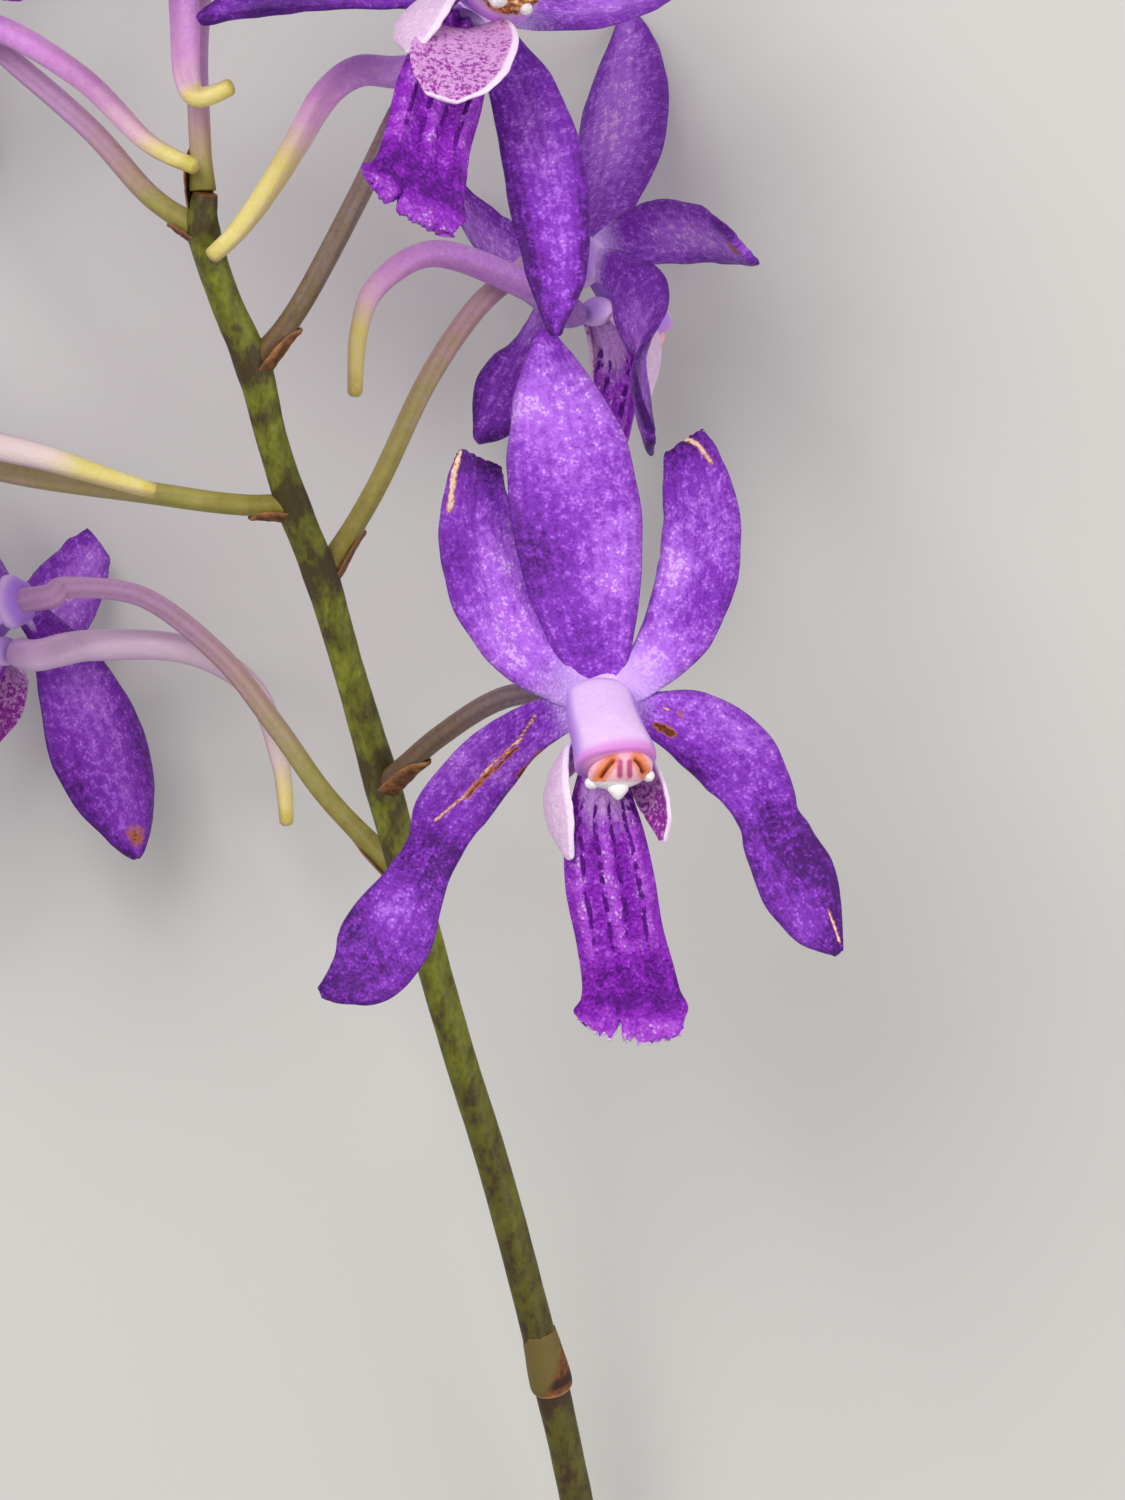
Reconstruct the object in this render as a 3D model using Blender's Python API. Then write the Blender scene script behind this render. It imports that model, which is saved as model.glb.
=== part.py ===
"""Flower spike of a small long-spurred orchid, cut from its plant and lying on a flat surface.

The rachis leans up from its cut end and carries seven open blooms. Each bloom is five tepals grown
together at their base, a lip with two side lobes, a nectar spur behind the lip, a column with its
anther cap, and the flower stalk that joins it to the rachis.

Places are in millimetres before they are turned into metres at the end: X runs across the spike, Y
up along it, and Z up from the surface it rests on. A bloom has a frame of its own: x to its right as
one looks at its face, y towards its dorsal sepal, z out of its face, from the middle of its base.
"""

import math

import bmesh
import bpy
from mathutils import Matrix, Vector

MM = 0.001
GAP = 0.35            # clearance between neighbouring solids
BLADE = 0.72          # thickness of a tepal
LIP_BLADE = 0.85      # thickness of the lip
MIDDLE = (-20.3, -3.2)    # middle of the spike's outline seen from above

# Stem: middle line and radius from the cut end to the dried tip. Flowers leave it at the kinks.
STEM = [
    (5.7, -78.4, 0.95, 1.12),
    (3.5, -64.5, 4.6, 1.12),
    (0.9, -50.0, 9.0, 1.12),
    (-1.1, -40.5, 11.9, 1.12),
    (-4.2, -27.9, 16.0, 1.08),
    (-6.9, -18.6, 19.2, 1.05),
    (-9.7, -8.2, 22.2, 1.12),
    (-11.3, -2.2, 23.7, 1.14),
    (-13.3, 5.0, 25.8, 1.0),
    (-14.9, 10.7, 27.5, 1.08),
    (-16.5, 15.0, 29.2, 1.05),
    (-17.7, 19.0, 30.9, 0.98),
    (-18.7, 23.3, 32.6, 1.1),
    (-20.3, 27.2, 34.2, 0.98),
    (-21.4, 31.0, 35.8, 1.0),
    (-21.2, 33.2, 36.5, 0.72),
]
STEM_ROWS_PER_SPAN = 2
SHEATH_AT = 2.82      # where the sheath scale sits, in spans from the cut end
SHEATH_HEIGHT = 4.4
SHEATH_RADIUS = 1.42
BRACT_LENGTH = 2.8
BRACT_HALF_WIDTH = 1.15
BRACT_BLADE = 0.6

# Tepals, each along its own y from the bloom's base: x, y, z, half width on either side, roll.
DORSAL = [
    (0.0, 0.0, 0.0, 1.1, 1.1, 0),
    (0.0, 2.0, 0.1, 1.9, 1.8, 0),
    (0.0, 6.0, 0.4, 3.2, 3.1, 0),
    (0.1, 10.6, 0.4, 3.8, 3.8, 0),
    (0.2, 14.8, 0.0, 3.55, 3.5, 0),
    (0.1, 18.2, -0.5, 2.6, 2.4, 0),
    (0.0, 20.8, -0.95, 1.3, 1.2, 0),
    (0.0, 22.3, -1.3, 0.3, 0.3, 0),
]
PETAL = [
    (0.0, 0.0, 0.0, 0.8, 0.8, 0),
    (-1.7, 2.0, 0.4, 1.4, 1.4, 16),
    (-3.1, 5.0, 0.7, 2.3, 2.3, 28),
    (-3.5, 8.4, 0.6, 2.8, 2.8, 34),
    (-2.9, 11.7, 0.1, 2.8, 2.8, 38),
    (-1.7, 14.4, -0.5, 2.4, 2.4, 42),
    (-0.7, 16.1, -1.0, 1.7, 1.7, 46),
]
BROAD_LATERAL = [
    (0.0, 0.0, 0.0, 0.8, 0.8, 0),
    (1.5, 2.6, 0.3, 1.3, 1.2, -10),
    (2.2, 4.9, 0.8, 1.8, 1.7, -26),
    (2.4, 7.6, 1.2, 2.45, 2.3, -36),
    (2.1, 10.6, 1.2, 2.4, 2.2, -28),
    (1.2, 13.0, 0.9, 1.65, 1.6, -4),
    (0.4, 15.2, 0.6, 1.95, 1.95, 16),
    (-0.45, 18.2, 0.2, 2.9, 2.8, 22),
    (-0.85, 20.7, -0.05, 2.6, 2.5, 18),
    (-0.55, 22.5, -0.25, 1.4, 1.35, 8),
    (0.0, 23.8, -0.4, 0.35, 0.35, 0),
]
TAPERED_LATERAL = [
    (0.0, 0.0, 0.0, 0.8, 0.8, 0),
    (1.6, 2.4, 0.3, 1.4, 1.4, -6),
    (2.9, 4.8, 0.8, 2.3, 2.2, -14),
    (3.35, 7.6, 1.2, 2.55, 2.55, -20),
    (3.0, 9.9, 1.2, 2.1, 2.1, -12),
    (2.4, 11.4, 0.95, 1.85, 1.85, 4),
    (1.75, 13.0, 0.7, 2.25, 2.25, 20),
    (1.0, 15.5, 0.4, 2.7, 2.6, 26),
    (0.25, 18.0, 0.0, 1.8, 1.8, 22),
    (0.0, 20.2, -0.3, 0.3, 0.3, 10),
]
# A lateral sepal without the twist, and a broad one that hangs beside the spur.
PLAIN_LATERAL = [
    (0.0, 0.0, 0.0, 0.8, 0.8, 0),
    (0.7, 2.6, 0.3, 1.35, 1.35, -4),
    (1.2, 6.0, 0.8, 2.0, 2.0, -8),
    (1.3, 10.0, 1.0, 2.35, 2.35, -6),
    (1.1, 14.0, 0.8, 2.35, 2.3, 0),
    (0.7, 17.6, 0.4, 1.8, 1.75, 6),
    (0.2, 20.0, 0.1, 0.9, 0.9, 6),
    (0.0, 21.2, 0.0, 0.3, 0.3, 4),
]
HANGING_LATERAL = [
    (0.0, 0.0, 0.0, 0.8, 0.8, 45),
    (1.5, 2.6, 0.3, 1.1, 1.1, 40),
    (2.2, 6.0, 0.6, 1.9, 1.9, 30),
    (1.7, 10.0, 0.6, 3.1, 3.1, 14),
    (0.4, 14.0, 0.4, 4.1, 4.1, 4),
    (-1.3, 18.0, 0.2, 3.5, 3.5, 0),
    (-2.7, 21.0, 0.0, 1.8, 1.8, 0),
    (-3.4, 22.6, 0.0, 0.3, 0.3, 0),
]
TEPAL_ROWS = 7
TEPAL_COLUMNS = 4
TEPAL_CUP = 0.07      # how far the margins stand forward, per millimetre of width

# Lip in the bloom's frame, with its side lobes. The right lobe is the left one mirrored.
MID_LOBE = [
    (0.0, -3.2, 1.5, 1.2, 1.2, 0),
    (-0.1, -5.2, 2.9, 1.7, 1.7, 0),
    (0.0, -7.6, 3.3, 2.3, 2.3, 0),
    (0.35, -10.5, 3.1, 2.6, 2.6, 0),
    (0.85, -13.5, 2.7, 2.6, 2.5, 0),
    (1.4, -16.2, 2.5, 2.8, 2.7, 0),
    (1.55, -18.2, 2.6, 3.1, 3.1, 0),
    (1.4, -19.7, 2.9, 2.6, 2.5, 0),
]
LIP_ROWS = 7
LIP_COLUMNS = 6
KEEL_HEIGHT = 0.22
KEEL_COUNT = 3
NOTCH_DEPTH = 0.9
SIDE_LOBE = [
    (-1.0, -3.2, 1.5, 0.9, 0.9, 0),
    (-2.3, -3.6, 2.4, 1.3, 1.2, 0),
    (-3.1, -4.8, 3.5, 1.7, 1.6, 0),
    (-3.0, -6.6, 4.2, 1.5, 1.4, 0),
    (-2.4, -8.5, 4.4, 0.3, 0.3, 0),
]

# Column and anther cap in the bloom's frame.
COLUMN = [(0.0, 0.7, 2.1, 1.0), (0.15, -0.8, 3.4, 1.7), (0.4, -2.2, 4.55, 1.95), (0.6, -3.1, 5.15, 2.05)]
COLUMN_FLATNESS = 0.8
CAP_RADII = (1.95, 1.3, 1.0)      # across, through and along the column
BASE_RADII = (1.8, 1.8, 1.1)      # the cushion that the tepals grow from
LIP_BASE = (0.0, -3.1, 1.25)
LIP_BASE_RADII = (1.6, 1.0, 0.85)

SPUR_START = (0.0, -3.35, -0.1)   # in the bloom's frame, just behind the lip
SPUR_RADII = (0.9, 0.98, 0.78, 0.5)
STALK_RADII = (0.68, 0.7, 0.74, 0.86)
TUBE_SIDES = 7

# Blooms from the lowest on the rachis upwards. A tepal's aim is its turn from the bloom's own up,
# its lean out of the face, its size, its extra roll and its share of the sideways bow. A lip's aim is
# its lean and turn. The stalk's and spur's routes are in the spike's millimetres, from the rachis and
# from behind the lip.
BLOOMS = {
    "flower_1": {
        "base": (2.4, 2.8, 40.2),
        "face": (0.0, 0.0, 1.0),
        "up": (0.0, 1.0, 0.0),
        "tepals": [
            (9, 0, 1.0, 0, 1.0), (24.4, 0, 1.0, 0, 1.0), (-14.8, 0, 1.0, 0, 1.0),
            (135.7, 0, 1.0, 0, 1.0), (-136.8, 0, 1.0, 0, 1.0),
        ],
        "node": 7.0,
        "stalk": [(-7.6, 0.8, 29.0), (-3.4, 3.2, 33.0), (1.2, 3.4, 36.0)],
        "spur": [
            (2.4, -1.2, 37.0), (2.7, -3.6, 33.9), (3.1, -7.2, 31.6), (3.5, -11.4, 30.5),
            (3.7, -15.0, 30.2),
        ],
        "lip": (0, 0),
    },
    "flower_2": {
        "base": (-5.2, 44.1, 36.6),
        "face": (0.40, 0.50, 0.77),
        "up": (0.5, 0.87, 0.0),
        "tepals": [
            (4, 4, 1.0, 0, 1.0), (26, 0, 1.0, 0, 1.0), (-30, 4, 1.0, 0, 1.0),
            (130, -5, 0.83, 22, 1.0), (-144, -5, 1.06, 18, 1.0),
        ],
        "node": 12.0,
        "stalk": [(-15.7, 26.9, 33.9), (-12.5, 33.1, 33.0), (-9.6, 39.2, 32.0), (-7.0, 42.0, 33.2)],
        "spur": [
            (-9.7, 40.3, 36.6), (-12.2, 40.6, 35.2), (-14.2, 39.3, 34.6), (-15.8, 36.5, 35.2),
            (-17.5, 33.4, 36.3), (-19.3, 30.7, 37.3), (-20.9, 29.1, 37.7),
        ],
        "lip": (-3.5, 2),
        "laterals": (PLAIN_LATERAL, PLAIN_LATERAL),
    },
    "flower_3": {
        "base": (1.5, 32.0, 13.6),
        "face": (0.80, -0.10, -0.60),
        "up": (0.0, 1.0, 0.0),
        "tepals": [
            (-24, 24, 1.06, 20, 1.0), (92, 14, 0.84, 20, -0.6), (-57, -14, 0.88, 0, 1.0),
            (134, -10, 0.8, 22, 1.0), (-135, 2, 0.78, 0, 1.0),
        ],
        "node": 9.0,
        "stalk": [(-11.6, 16.5, 25.0), (-8.6, 23.4, 21.4), (-5.6, 28.4, 17.8), (-2.7, 31.2, 15.6)],
        "spur": [
            (-2.4, 29.8, 18.9), (-8.0, 31.6, 20.6), (-11.6, 29.6, 21.6), (-12.9, 26.6, 21.6),
            (-13.2, 22.4, 21.2),
        ],
        "lip": (0, 0),
    },
    "flower_4": {
        "base": (-35.9, 9.7, 13.8),
        "face": (-0.85, -0.10, -0.50),
        "up": (0.0, 1.0, 0.0),
        "tepals": [
            (0, 37, 0.92, 0, 1.0), (66, 11, 0.78, -45, 1.0), (-66, 3, 0.93, 0, 1.0),
            (149, -9, 0.83, 8, 1.0), (-124, 8, 0.87, 0, 1.0),
        ],
        "node": 6.0,
        "stalk": [
            (-14.9, -3.2, 19.6), (-18.3, 1.3, 17.6), (-22.1, 6.0, 16.0), (-27.2, 9.9, 15.0),
            (-32.2, 10.6, 14.6),
        ],
        "spur": [
            (-31.0, 6.9, 12.0), (-24.8, 6.6, 11.6), (-20.4, 4.0, 11.8), (-18.6, -0.7, 12.4),
            (-18.1, -5.0, 13.0),
        ],
        "lip": (9, 8),
        "laterals": (HANGING_LATERAL, TAPERED_LATERAL),
    },
    "flower_5": {
        "base": (-46.0, 21.6, 35.0),
        "face": (-0.80, 0.25, 0.50),
        "up": (0.0, 0.3, -1.0),
        "tepals": [
            (0, 0, 1.0, 0, 1.0), (30, 5, 1.0, 0, 1.0), (-28, 5, 1.0, 0, 1.0),
            (135, 0, 0.9, 0, 1.0), (-135, 0, 0.9, 0, 1.0),
        ],
        "node": 10.0,
        "stalk": [(-20.6, 15.1, 29.7), (-25.0, 15.7, 30.0), (-34.3, 17.1, 30.8), (-41.0, 19.6, 32.2)],
        "spur": [
            (-41.4, 19.6, 38.0), (-36.8, 18.8, 35.6), (-31.6, 17.7, 34.0), (-27.6, 16.5, 33.0),
            (-24.5, 15.6, 32.6),
        ],
        "lip": (0, 0),
    },
    "flower_6": {
        "base": (-42.9, 51.0, 17.6),
        "face": (-0.65, 0.45, -0.60),
        "up": (0.3, 0.8, 0.2),
        "tepals": [
            (0, 0, 1.0, 0, 1.0), (30, 5, 1.0, 0, 1.0), (-34, 5, 1.0, 0, 1.0),
            (138, 10, 0.94, 0, 1.0), (-132, 0, 0.9, 0, 1.0),
        ],
        "node": 14.0,
        "stalk": [(-24.8, 33.3, 34.6), (-28.6, 37.6, 32.0), (-34.0, 42.6, 27.6), (-39.0, 47.2, 22.0)],
        "spur": [
            (-40.4, 45.0, 20.6), (-38.2, 44.2, 26.6), (-34.6, 44.0, 31.2), (-28.8, 40.2, 35.4),
            (-24.6, 36.0, 37.6), (-21.5, 34.3, 38.6),
        ],
        "lip": (0, 0),
    },
    "flower_7": {
        "base": (-21.8, 56.0, 38.4),
        "face": (-0.35, 0.60, 0.70),
        "up": (0.6, 0.6, -0.5),
        "tepals": [
            (0, 0, 1.0, 0, 1.0), (30, 5, 1.0, 0, 1.0), (-30, 5, 1.0, 0, 1.0),
            (134, 0, 0.9, 0, 1.0), (-134, 0, 0.9, 0, 1.0),
        ],
        "node": 14.7,
        "stalk": [(-21.6, 37.0, 36.4), (-21.9, 42.0, 34.6), (-21.6, 48.0, 34.4), (-21.4, 53.0, 35.8)],
        "spur": [
            (-22.6, 49.4, 39.6), (-22.2, 43.4, 39.4), (-22.0, 39.4, 39.8), (-21.2, 38.2, 40.2),
            (-19.2, 38.8, 40.6),
        ],
        "lip": (0, 0),
    },
}

COLOURS = {
    "tepal": ((0.20, 0.045, 0.42), 0.45),
    "lip": ((0.17, 0.02, 0.38), 0.42),
    "spur": ((0.72, 0.42, 0.60), 0.45),
    "column": ((0.74, 0.46, 0.78), 0.4),
    "anther": ((0.80, 0.55, 0.50), 0.45),
    "stalk": ((0.30, 0.19, 0.20), 0.5),
    "stem": ((0.16, 0.19, 0.04), 0.5),
}


def material(kind):
    """The finish of one kind of piece, made on its first use."""
    found = bpy.data.materials.get(kind)
    if found:
        return found
    made = bpy.data.materials.new(kind)
    made.use_nodes = True
    colour, roughness = COLOURS[kind]
    shader = made.node_tree.nodes["Principled BSDF"]
    shader.inputs["Base Color"].default_value = (*colour, 1.0)
    shader.inputs["Roughness"].default_value = roughness
    made.diffuse_color = (*colour, 1.0)
    return made


def along(stations, t):
    """The station at t from 0 to 1 along a list of them, on a smooth curve through every one."""
    spans = len(stations) - 1
    place = min(max(t, 0.0), 1.0) * spans
    i = min(int(place), spans - 1)
    f = place - i
    before = stations[max(i - 1, 0)]
    after = stations[min(i + 2, spans)]
    values = []
    for a, b, c, d in zip(before, stations[i], stations[i + 1], after):
        curve = (2 * a - 5 * b + 4 * c - d) * f * f + (3 * b - a - 3 * c + d) * f ** 3
        values.append(0.5 * (2 * b + (c - a) * f + curve))
    return values


def heading(stations, t):
    """The direction of travel along the stations at t."""
    step = 0.01
    ahead = Vector(along(stations, min(t + step, 1.0))[:3])
    behind = Vector(along(stations, max(t - step, 0.0))[:3])
    return (ahead - behind).normalized()


def new_object(name, bm, kind):
    """An object of its own from a bmesh, which is freed."""
    mesh = bpy.data.meshes.new(name)
    bm.to_mesh(mesh)
    bm.free()
    mesh.materials.append(material(kind))
    obj = bpy.data.objects.new(name, mesh)
    bpy.context.scene.collection.objects.link(obj)
    return obj


def sheet(rows, columns, wall, shape):
    """A closed blade. shape(t, v) gives a point and its normal, t along it and v from -1 to 1 across."""
    bm = bmesh.new()
    bmesh.ops.create_grid(bm, x_segments=columns, y_segments=rows, size=1.0)
    for vert in bm.verts:
        point, normal = shape((vert.co.y + 1) / 2, vert.co.x)
        vert.co = point + normal * wall / 2
    bmesh.ops.triangulate(bm, faces=bm.faces)
    bmesh.ops.recalc_face_normals(bm, faces=bm.faces)
    bm.normal_update()
    _, normal = shape(0.5, 0.0)
    if sum((face.normal for face in bm.faces), Vector()).dot(normal) < 0:
        bmesh.ops.reverse_faces(bm, faces=bm.faces)
    bmesh.ops.solidify(bm, geom=bm.faces[:], thickness=wall)
    bmesh.ops.recalc_face_normals(bm, faces=bm.faces)
    return bm


def blade(stations, forward, rows, columns, wall, cup, relief=None):
    """A closed blade along stations, whose face looks forward where its roll is 0."""

    def shape(t, v):
        x, y, z, left, right, roll = along(stations, t)
        ahead = heading(stations, t)
        normal = (forward - ahead * forward.dot(ahead)).normalized()
        normal.rotate(Matrix.Rotation(math.radians(roll), 3, ahead))
        across = ahead.cross(normal)
        half = right if v > 0 else left
        point = Vector((x, y, z)) + across * half * v + normal * half * cup * v * v
        if relief:
            point += relief(t, v, normal, ahead)
        return point, normal

    return sheet(rows, columns, wall, shape)


def tube(stations, rows, sides, flatness=1.0, round_end=0.0):
    """A closed tube along stations of x, y, z and radius. round_end is the share of it that rounds off."""
    bm = bmesh.new()
    bmesh.ops.create_grid(bm, x_segments=sides, y_segments=rows, size=1.0)
    side = Vector((1.0, 0.0, 0.0))
    if abs(heading(stations, 0).x) > 0.8:
        side = Vector((0.0, 0.0, 1.0))
    rings = {}
    for row in range(rows + 1):
        t = row / rows
        ahead = heading(stations, t)
        side = (side - ahead * side.dot(ahead)).normalized()
        *centre, radius = along(stations, t)
        rings[row] = (Vector(centre), side.copy(), ahead.cross(side), radius)
    for vert in bm.verts:
        t = (vert.co.y + 1) / 2
        centre, across, through, radius = rings[round(t * rows)]
        if round_end and t > 1 - round_end:
            radius *= math.sqrt(max(0.12, 1 - ((t - 1 + round_end) / round_end) ** 2))
        turn = math.pi * vert.co.x
        vert.co = centre + across * radius * math.cos(turn) + through * radius * flatness * math.sin(turn)
    bmesh.ops.remove_doubles(bm, verts=bm.verts, dist=1e-4)
    bmesh.ops.holes_fill(bm, edges=[edge for edge in bm.edges if edge.is_boundary], sides=0)
    bmesh.ops.recalc_face_normals(bm, faces=bm.faces)
    return bm


def ball(place, radii, turn=None):
    """A faceted ellipsoid."""
    bm = bmesh.new()
    bmesh.ops.create_icosphere(bm, subdivisions=2, radius=1.0)
    bmesh.ops.scale(bm, vec=radii, verts=bm.verts)
    if turn:
        bmesh.ops.transform(bm, matrix=turn.to_4x4(), verts=bm.verts)
    bmesh.ops.translate(bm, vec=place, verts=bm.verts)
    return bm


def fuse(name, kind, pieces):
    """One solid from pieces that overlap."""
    made = [new_object(f"{name}_{i}", piece, kind) for i, piece in enumerate(pieces)]
    body, rest = made[0], made[1:]
    body.name = name
    group = bpy.data.collections.new(f"{name}_group")
    bpy.context.scene.collection.children.link(group)
    for piece in rest:
        bpy.context.scene.collection.objects.unlink(piece)
        group.objects.link(piece)
    join = body.modifiers.new("Fuse", "BOOLEAN")
    join.operation = "UNION"
    join.operand_type = "COLLECTION"
    join.collection = group
    join.solver = "EXACT"
    graph = bpy.context.evaluated_depsgraph_get()
    joined = bpy.data.meshes.new_from_object(body.evaluated_get(graph))
    body.modifiers.clear()
    body.data = joined
    for piece in rest:
        bpy.data.objects.remove(piece)
    bpy.data.collections.remove(group)
    return body


def flat_spot(obj):
    """Cuts off what reaches below the surface, which leaves the flat spot that the spike rests on."""
    bm = bmesh.new()
    bm.from_mesh(obj.data)
    everything = bm.verts[:] + bm.edges[:] + bm.faces[:]
    bmesh.ops.bisect_plane(bm, geom=everything, plane_co=(0, 0, 0), plane_no=(0, 0, -1), clear_outer=True)
    bmesh.ops.holes_fill(bm, edges=[edge for edge in bm.edges if edge.is_boundary], sides=0)
    bm.to_mesh(obj.data)
    bm.free()


def axes_of(bloom):
    """The bloom's frame: the matrix that takes its own places to the spike's."""
    face = Vector(bloom["face"]).normalized()
    up = Vector(bloom["up"])
    up = (up - face * up.dot(face)).normalized()
    right = up.cross(face)
    turn = Matrix((right, up, face)).transposed()
    return Matrix.Translation(bloom["base"]) @ turn.to_4x4()


def put(bm, matrix):
    bmesh.ops.transform(bm, matrix=matrix, verts=bm.verts)
    return bm


def tepal(stations, aim, mirrored):
    """One tepal in its bloom's frame."""
    turn, lean, size, roll, bow = aim
    if mirrored:
        stations = [(-x, y, z, right, left, -own) for x, y, z, left, right, own in stations]
    stations = [
        (x * size * bow, y * size, z, left, right, own + roll) for x, y, z, left, right, own in stations
    ]
    bm = blade(stations, Vector((0, 0, 1)), TEPAL_ROWS, TEPAL_COLUMNS, BLADE, TEPAL_CUP)
    placed = Matrix.Rotation(math.radians(turn), 4, "Z") @ Matrix.Rotation(math.radians(lean), 4, "X")
    return put(bm, placed)


def make_tepals(name, bloom, frame):
    """The three sepals and two petals, grown together at the cushion behind the column."""
    left, right = bloom.get("laterals", (BROAD_LATERAL, TAPERED_LATERAL))
    forms = [(DORSAL, False), (PETAL, False), (PETAL, True), (left, False), (right, True)]
    pieces = [ball((0, 0, 0), BASE_RADII)]
    pieces += [tepal(form, aim, mirrored) for (form, mirrored), aim in zip(forms, bloom["tepals"])]
    return fuse(f"{name}_tepals", "tepal", [put(piece, frame) for piece in pieces])


def lip_relief(t, v, normal, ahead):
    """Keels along the lip's face, and the notch in its end."""
    keels = KEEL_HEIGHT * math.cos(KEEL_COUNT * math.pi * v) * math.sin(math.pi * min(1.0, t + 0.15))
    notch = NOTCH_DEPTH * max(0.0, 1 - abs(v - 0.25) / 0.3) * max(0.0, 4 * t - 3)
    return normal * keels - ahead * notch


def make_lip(name, bloom, frame):
    """Lip with its mid-lobe, its two side lobes and the cushion they grow from."""
    lean, turn = (math.radians(angle) for angle in bloom["lip"])
    aim = Matrix.Rotation(turn, 4, "Z") @ Matrix.Rotation(-lean, 4, "X")
    aim = Matrix.Translation(LIP_BASE) @ aim @ Matrix.Translation(-Vector(LIP_BASE))
    mid = blade(MID_LOBE, Vector((0, 0, 1)), LIP_ROWS, LIP_COLUMNS, LIP_BLADE, 0.05, lip_relief)
    pieces = [ball(LIP_BASE, LIP_BASE_RADII), put(mid, aim)]
    for side in (1, -1):
        lobe = [(x * side, y, z, left, right, roll) for x, y, z, left, right, roll in SIDE_LOBE]
        pieces.append(blade(lobe, Vector((-side, 0, 0)), 4, 2, BRACT_BLADE, 0.1))
    return fuse(f"{name}_lip", "lip", [put(piece, frame) for piece in pieces])


def make_column(name, frame):
    """Column, and the anther cap on its end."""
    new_object(f"{name}_column", put(tube(COLUMN, 4, 10, COLUMN_FLATNESS), frame), "column")
    ahead = heading(COLUMN, 1.0)
    across = Vector((1, -ahead.x / ahead.y, 0)).normalized()
    turn = Matrix((across, ahead.cross(across), ahead)).transposed()
    place = Vector(COLUMN[-1][:3]) + ahead * (GAP + CAP_RADII[2])
    new_object(f"{name}_anther_cap", put(ball(place, CAP_RADII, turn), frame), "anther")


def with_radii(route, radii):
    """Stations for a tube: the route's places, with radii spread evenly along it."""
    last = len(route) - 1
    spread = [(radius,) for radius in radii]
    return [(*place, along(spread, i / last)[0]) for i, place in enumerate(route)]


def make_spur(name, bloom, frame):
    """Nectar spur, from just behind the lip to its rounded tip."""
    start = frame @ Vector(SPUR_START)
    lead = frame @ (Vector(SPUR_START) + Vector((0, -0.35, -1.5)))
    route = with_radii([tuple(start), tuple(lead), *bloom["spur"]], SPUR_RADII)
    return new_object(f"{name}_spur", tube(route, 11, TUBE_SIDES, round_end=0.08), "spur")


def stem_at(place):
    """Point, direction and radius of the stem, place spans up from its cut end."""
    t = place / (len(STEM) - 1)
    x, y, z, radius = along(STEM, t)
    return Vector((x, y, z)), heading(STEM, t), radius


def foot_of(bloom):
    """Where a flower stalk leaves the stem: the point on its middle line, the way out, and how far."""
    point, ahead, radius = stem_at(bloom["node"])
    out = Vector(bloom["stalk"][0]) - point
    out = (out - ahead * out.dot(ahead) * 0.5).normalized()
    slant = abs(out.dot(ahead))
    reach = (radius + 1.4 * GAP + STALK_RADII[0] * slant) / math.sqrt(1 - slant ** 2)
    return point, out, reach


def make_stalk(name, bloom, frame):
    """Flower stalk, thickened into the ovary behind the bloom."""
    point, out, reach = foot_of(bloom)
    foot = point + out * reach
    back = frame @ Vector((0, 0, -BASE_RADII[2] - GAP))
    lead = frame @ Vector((0, 0, -BASE_RADII[2] - GAP - 1.6))
    route = with_radii([tuple(foot), *bloom["stalk"], tuple(lead), tuple(back)], STALK_RADII)
    return new_object(f"{name}_stalk", tube(route, 10, TUBE_SIDES), "stalk")


def bract(bloom):
    """The scale under a flower stalk's foot, from inside the stem out along the stalk."""
    point, out, _ = foot_of(bloom)
    _, ahead, radius = stem_at(bloom["node"])
    down = (-ahead + out * ahead.dot(out)).normalized()
    start = point + down * (STALK_RADII[0] + GAP + BRACT_BLADE * 0.6)
    root = point - ahead * 0.9
    stations = [(*root, 0.8, 0.8, 0)]
    for share, half in ((0.0, 1.0), (0.5, 0.9), (1.0, 0.25)):
        place = start + out * (radius + BRACT_LENGTH * share) + down * 0.4 * share ** 2
        stations.append((*place, half * BRACT_HALF_WIDTH, half * BRACT_HALF_WIDTH, 0))
    return blade(stations, -down, 5, 2, BRACT_BLADE, 0.12)


def sheath():
    """The scale that wraps the lower stem: a collar that stands off it and ends in a point."""
    point, ahead, _ = stem_at(SHEATH_AT)
    stations = []
    for share, radius in ((0.0, 1.14), (0.12, SHEATH_RADIUS), (0.45, 1.32), (0.8, 1.2), (1.0, 1.0)):
        stations.append((*(point + ahead * SHEATH_HEIGHT * share), radius))
    return tube(stations, 6, 10)


def make_stem():
    """Rachis and the stem below it, with a bract under each flower stalk and the sheath lower down."""
    rows = STEM_ROWS_PER_SPAN * (len(STEM) - 1)
    pieces = [tube(STEM, rows, 8, round_end=0.02), sheath()]
    pieces += [bract(bloom) for bloom in BLOOMS.values()]
    return fuse("stem", "stem", pieces)


def make_bloom(name, bloom):
    frame = axes_of(bloom)
    make_tepals(name, bloom, frame)
    make_lip(name, bloom, frame)
    make_column(name, frame)
    make_spur(name, bloom, frame)
    make_stalk(name, bloom, frame)


def to_metres(obj):
    """Moves the spike's middle over the origin, and turns millimetres into metres."""
    shift = Matrix.Translation((-MIDDLE[0], -MIDDLE[1], 0))
    obj.data.transform(Matrix.Scale(MM, 4) @ shift)
    obj.data.shade_smooth()
    obj.data.set_sharp_from_angle(angle=math.radians(40))


def main():
    for obj in list(bpy.data.objects):
        bpy.data.objects.remove(obj)
    make_stem()
    for name, bloom in BLOOMS.items():
        make_bloom(name, bloom)
    for obj in bpy.context.scene.objects:
        if min((obj.matrix_world @ vert.co).z for vert in obj.data.vertices) < 0:
            flat_spot(obj)
        to_metres(obj)


main()
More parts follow.
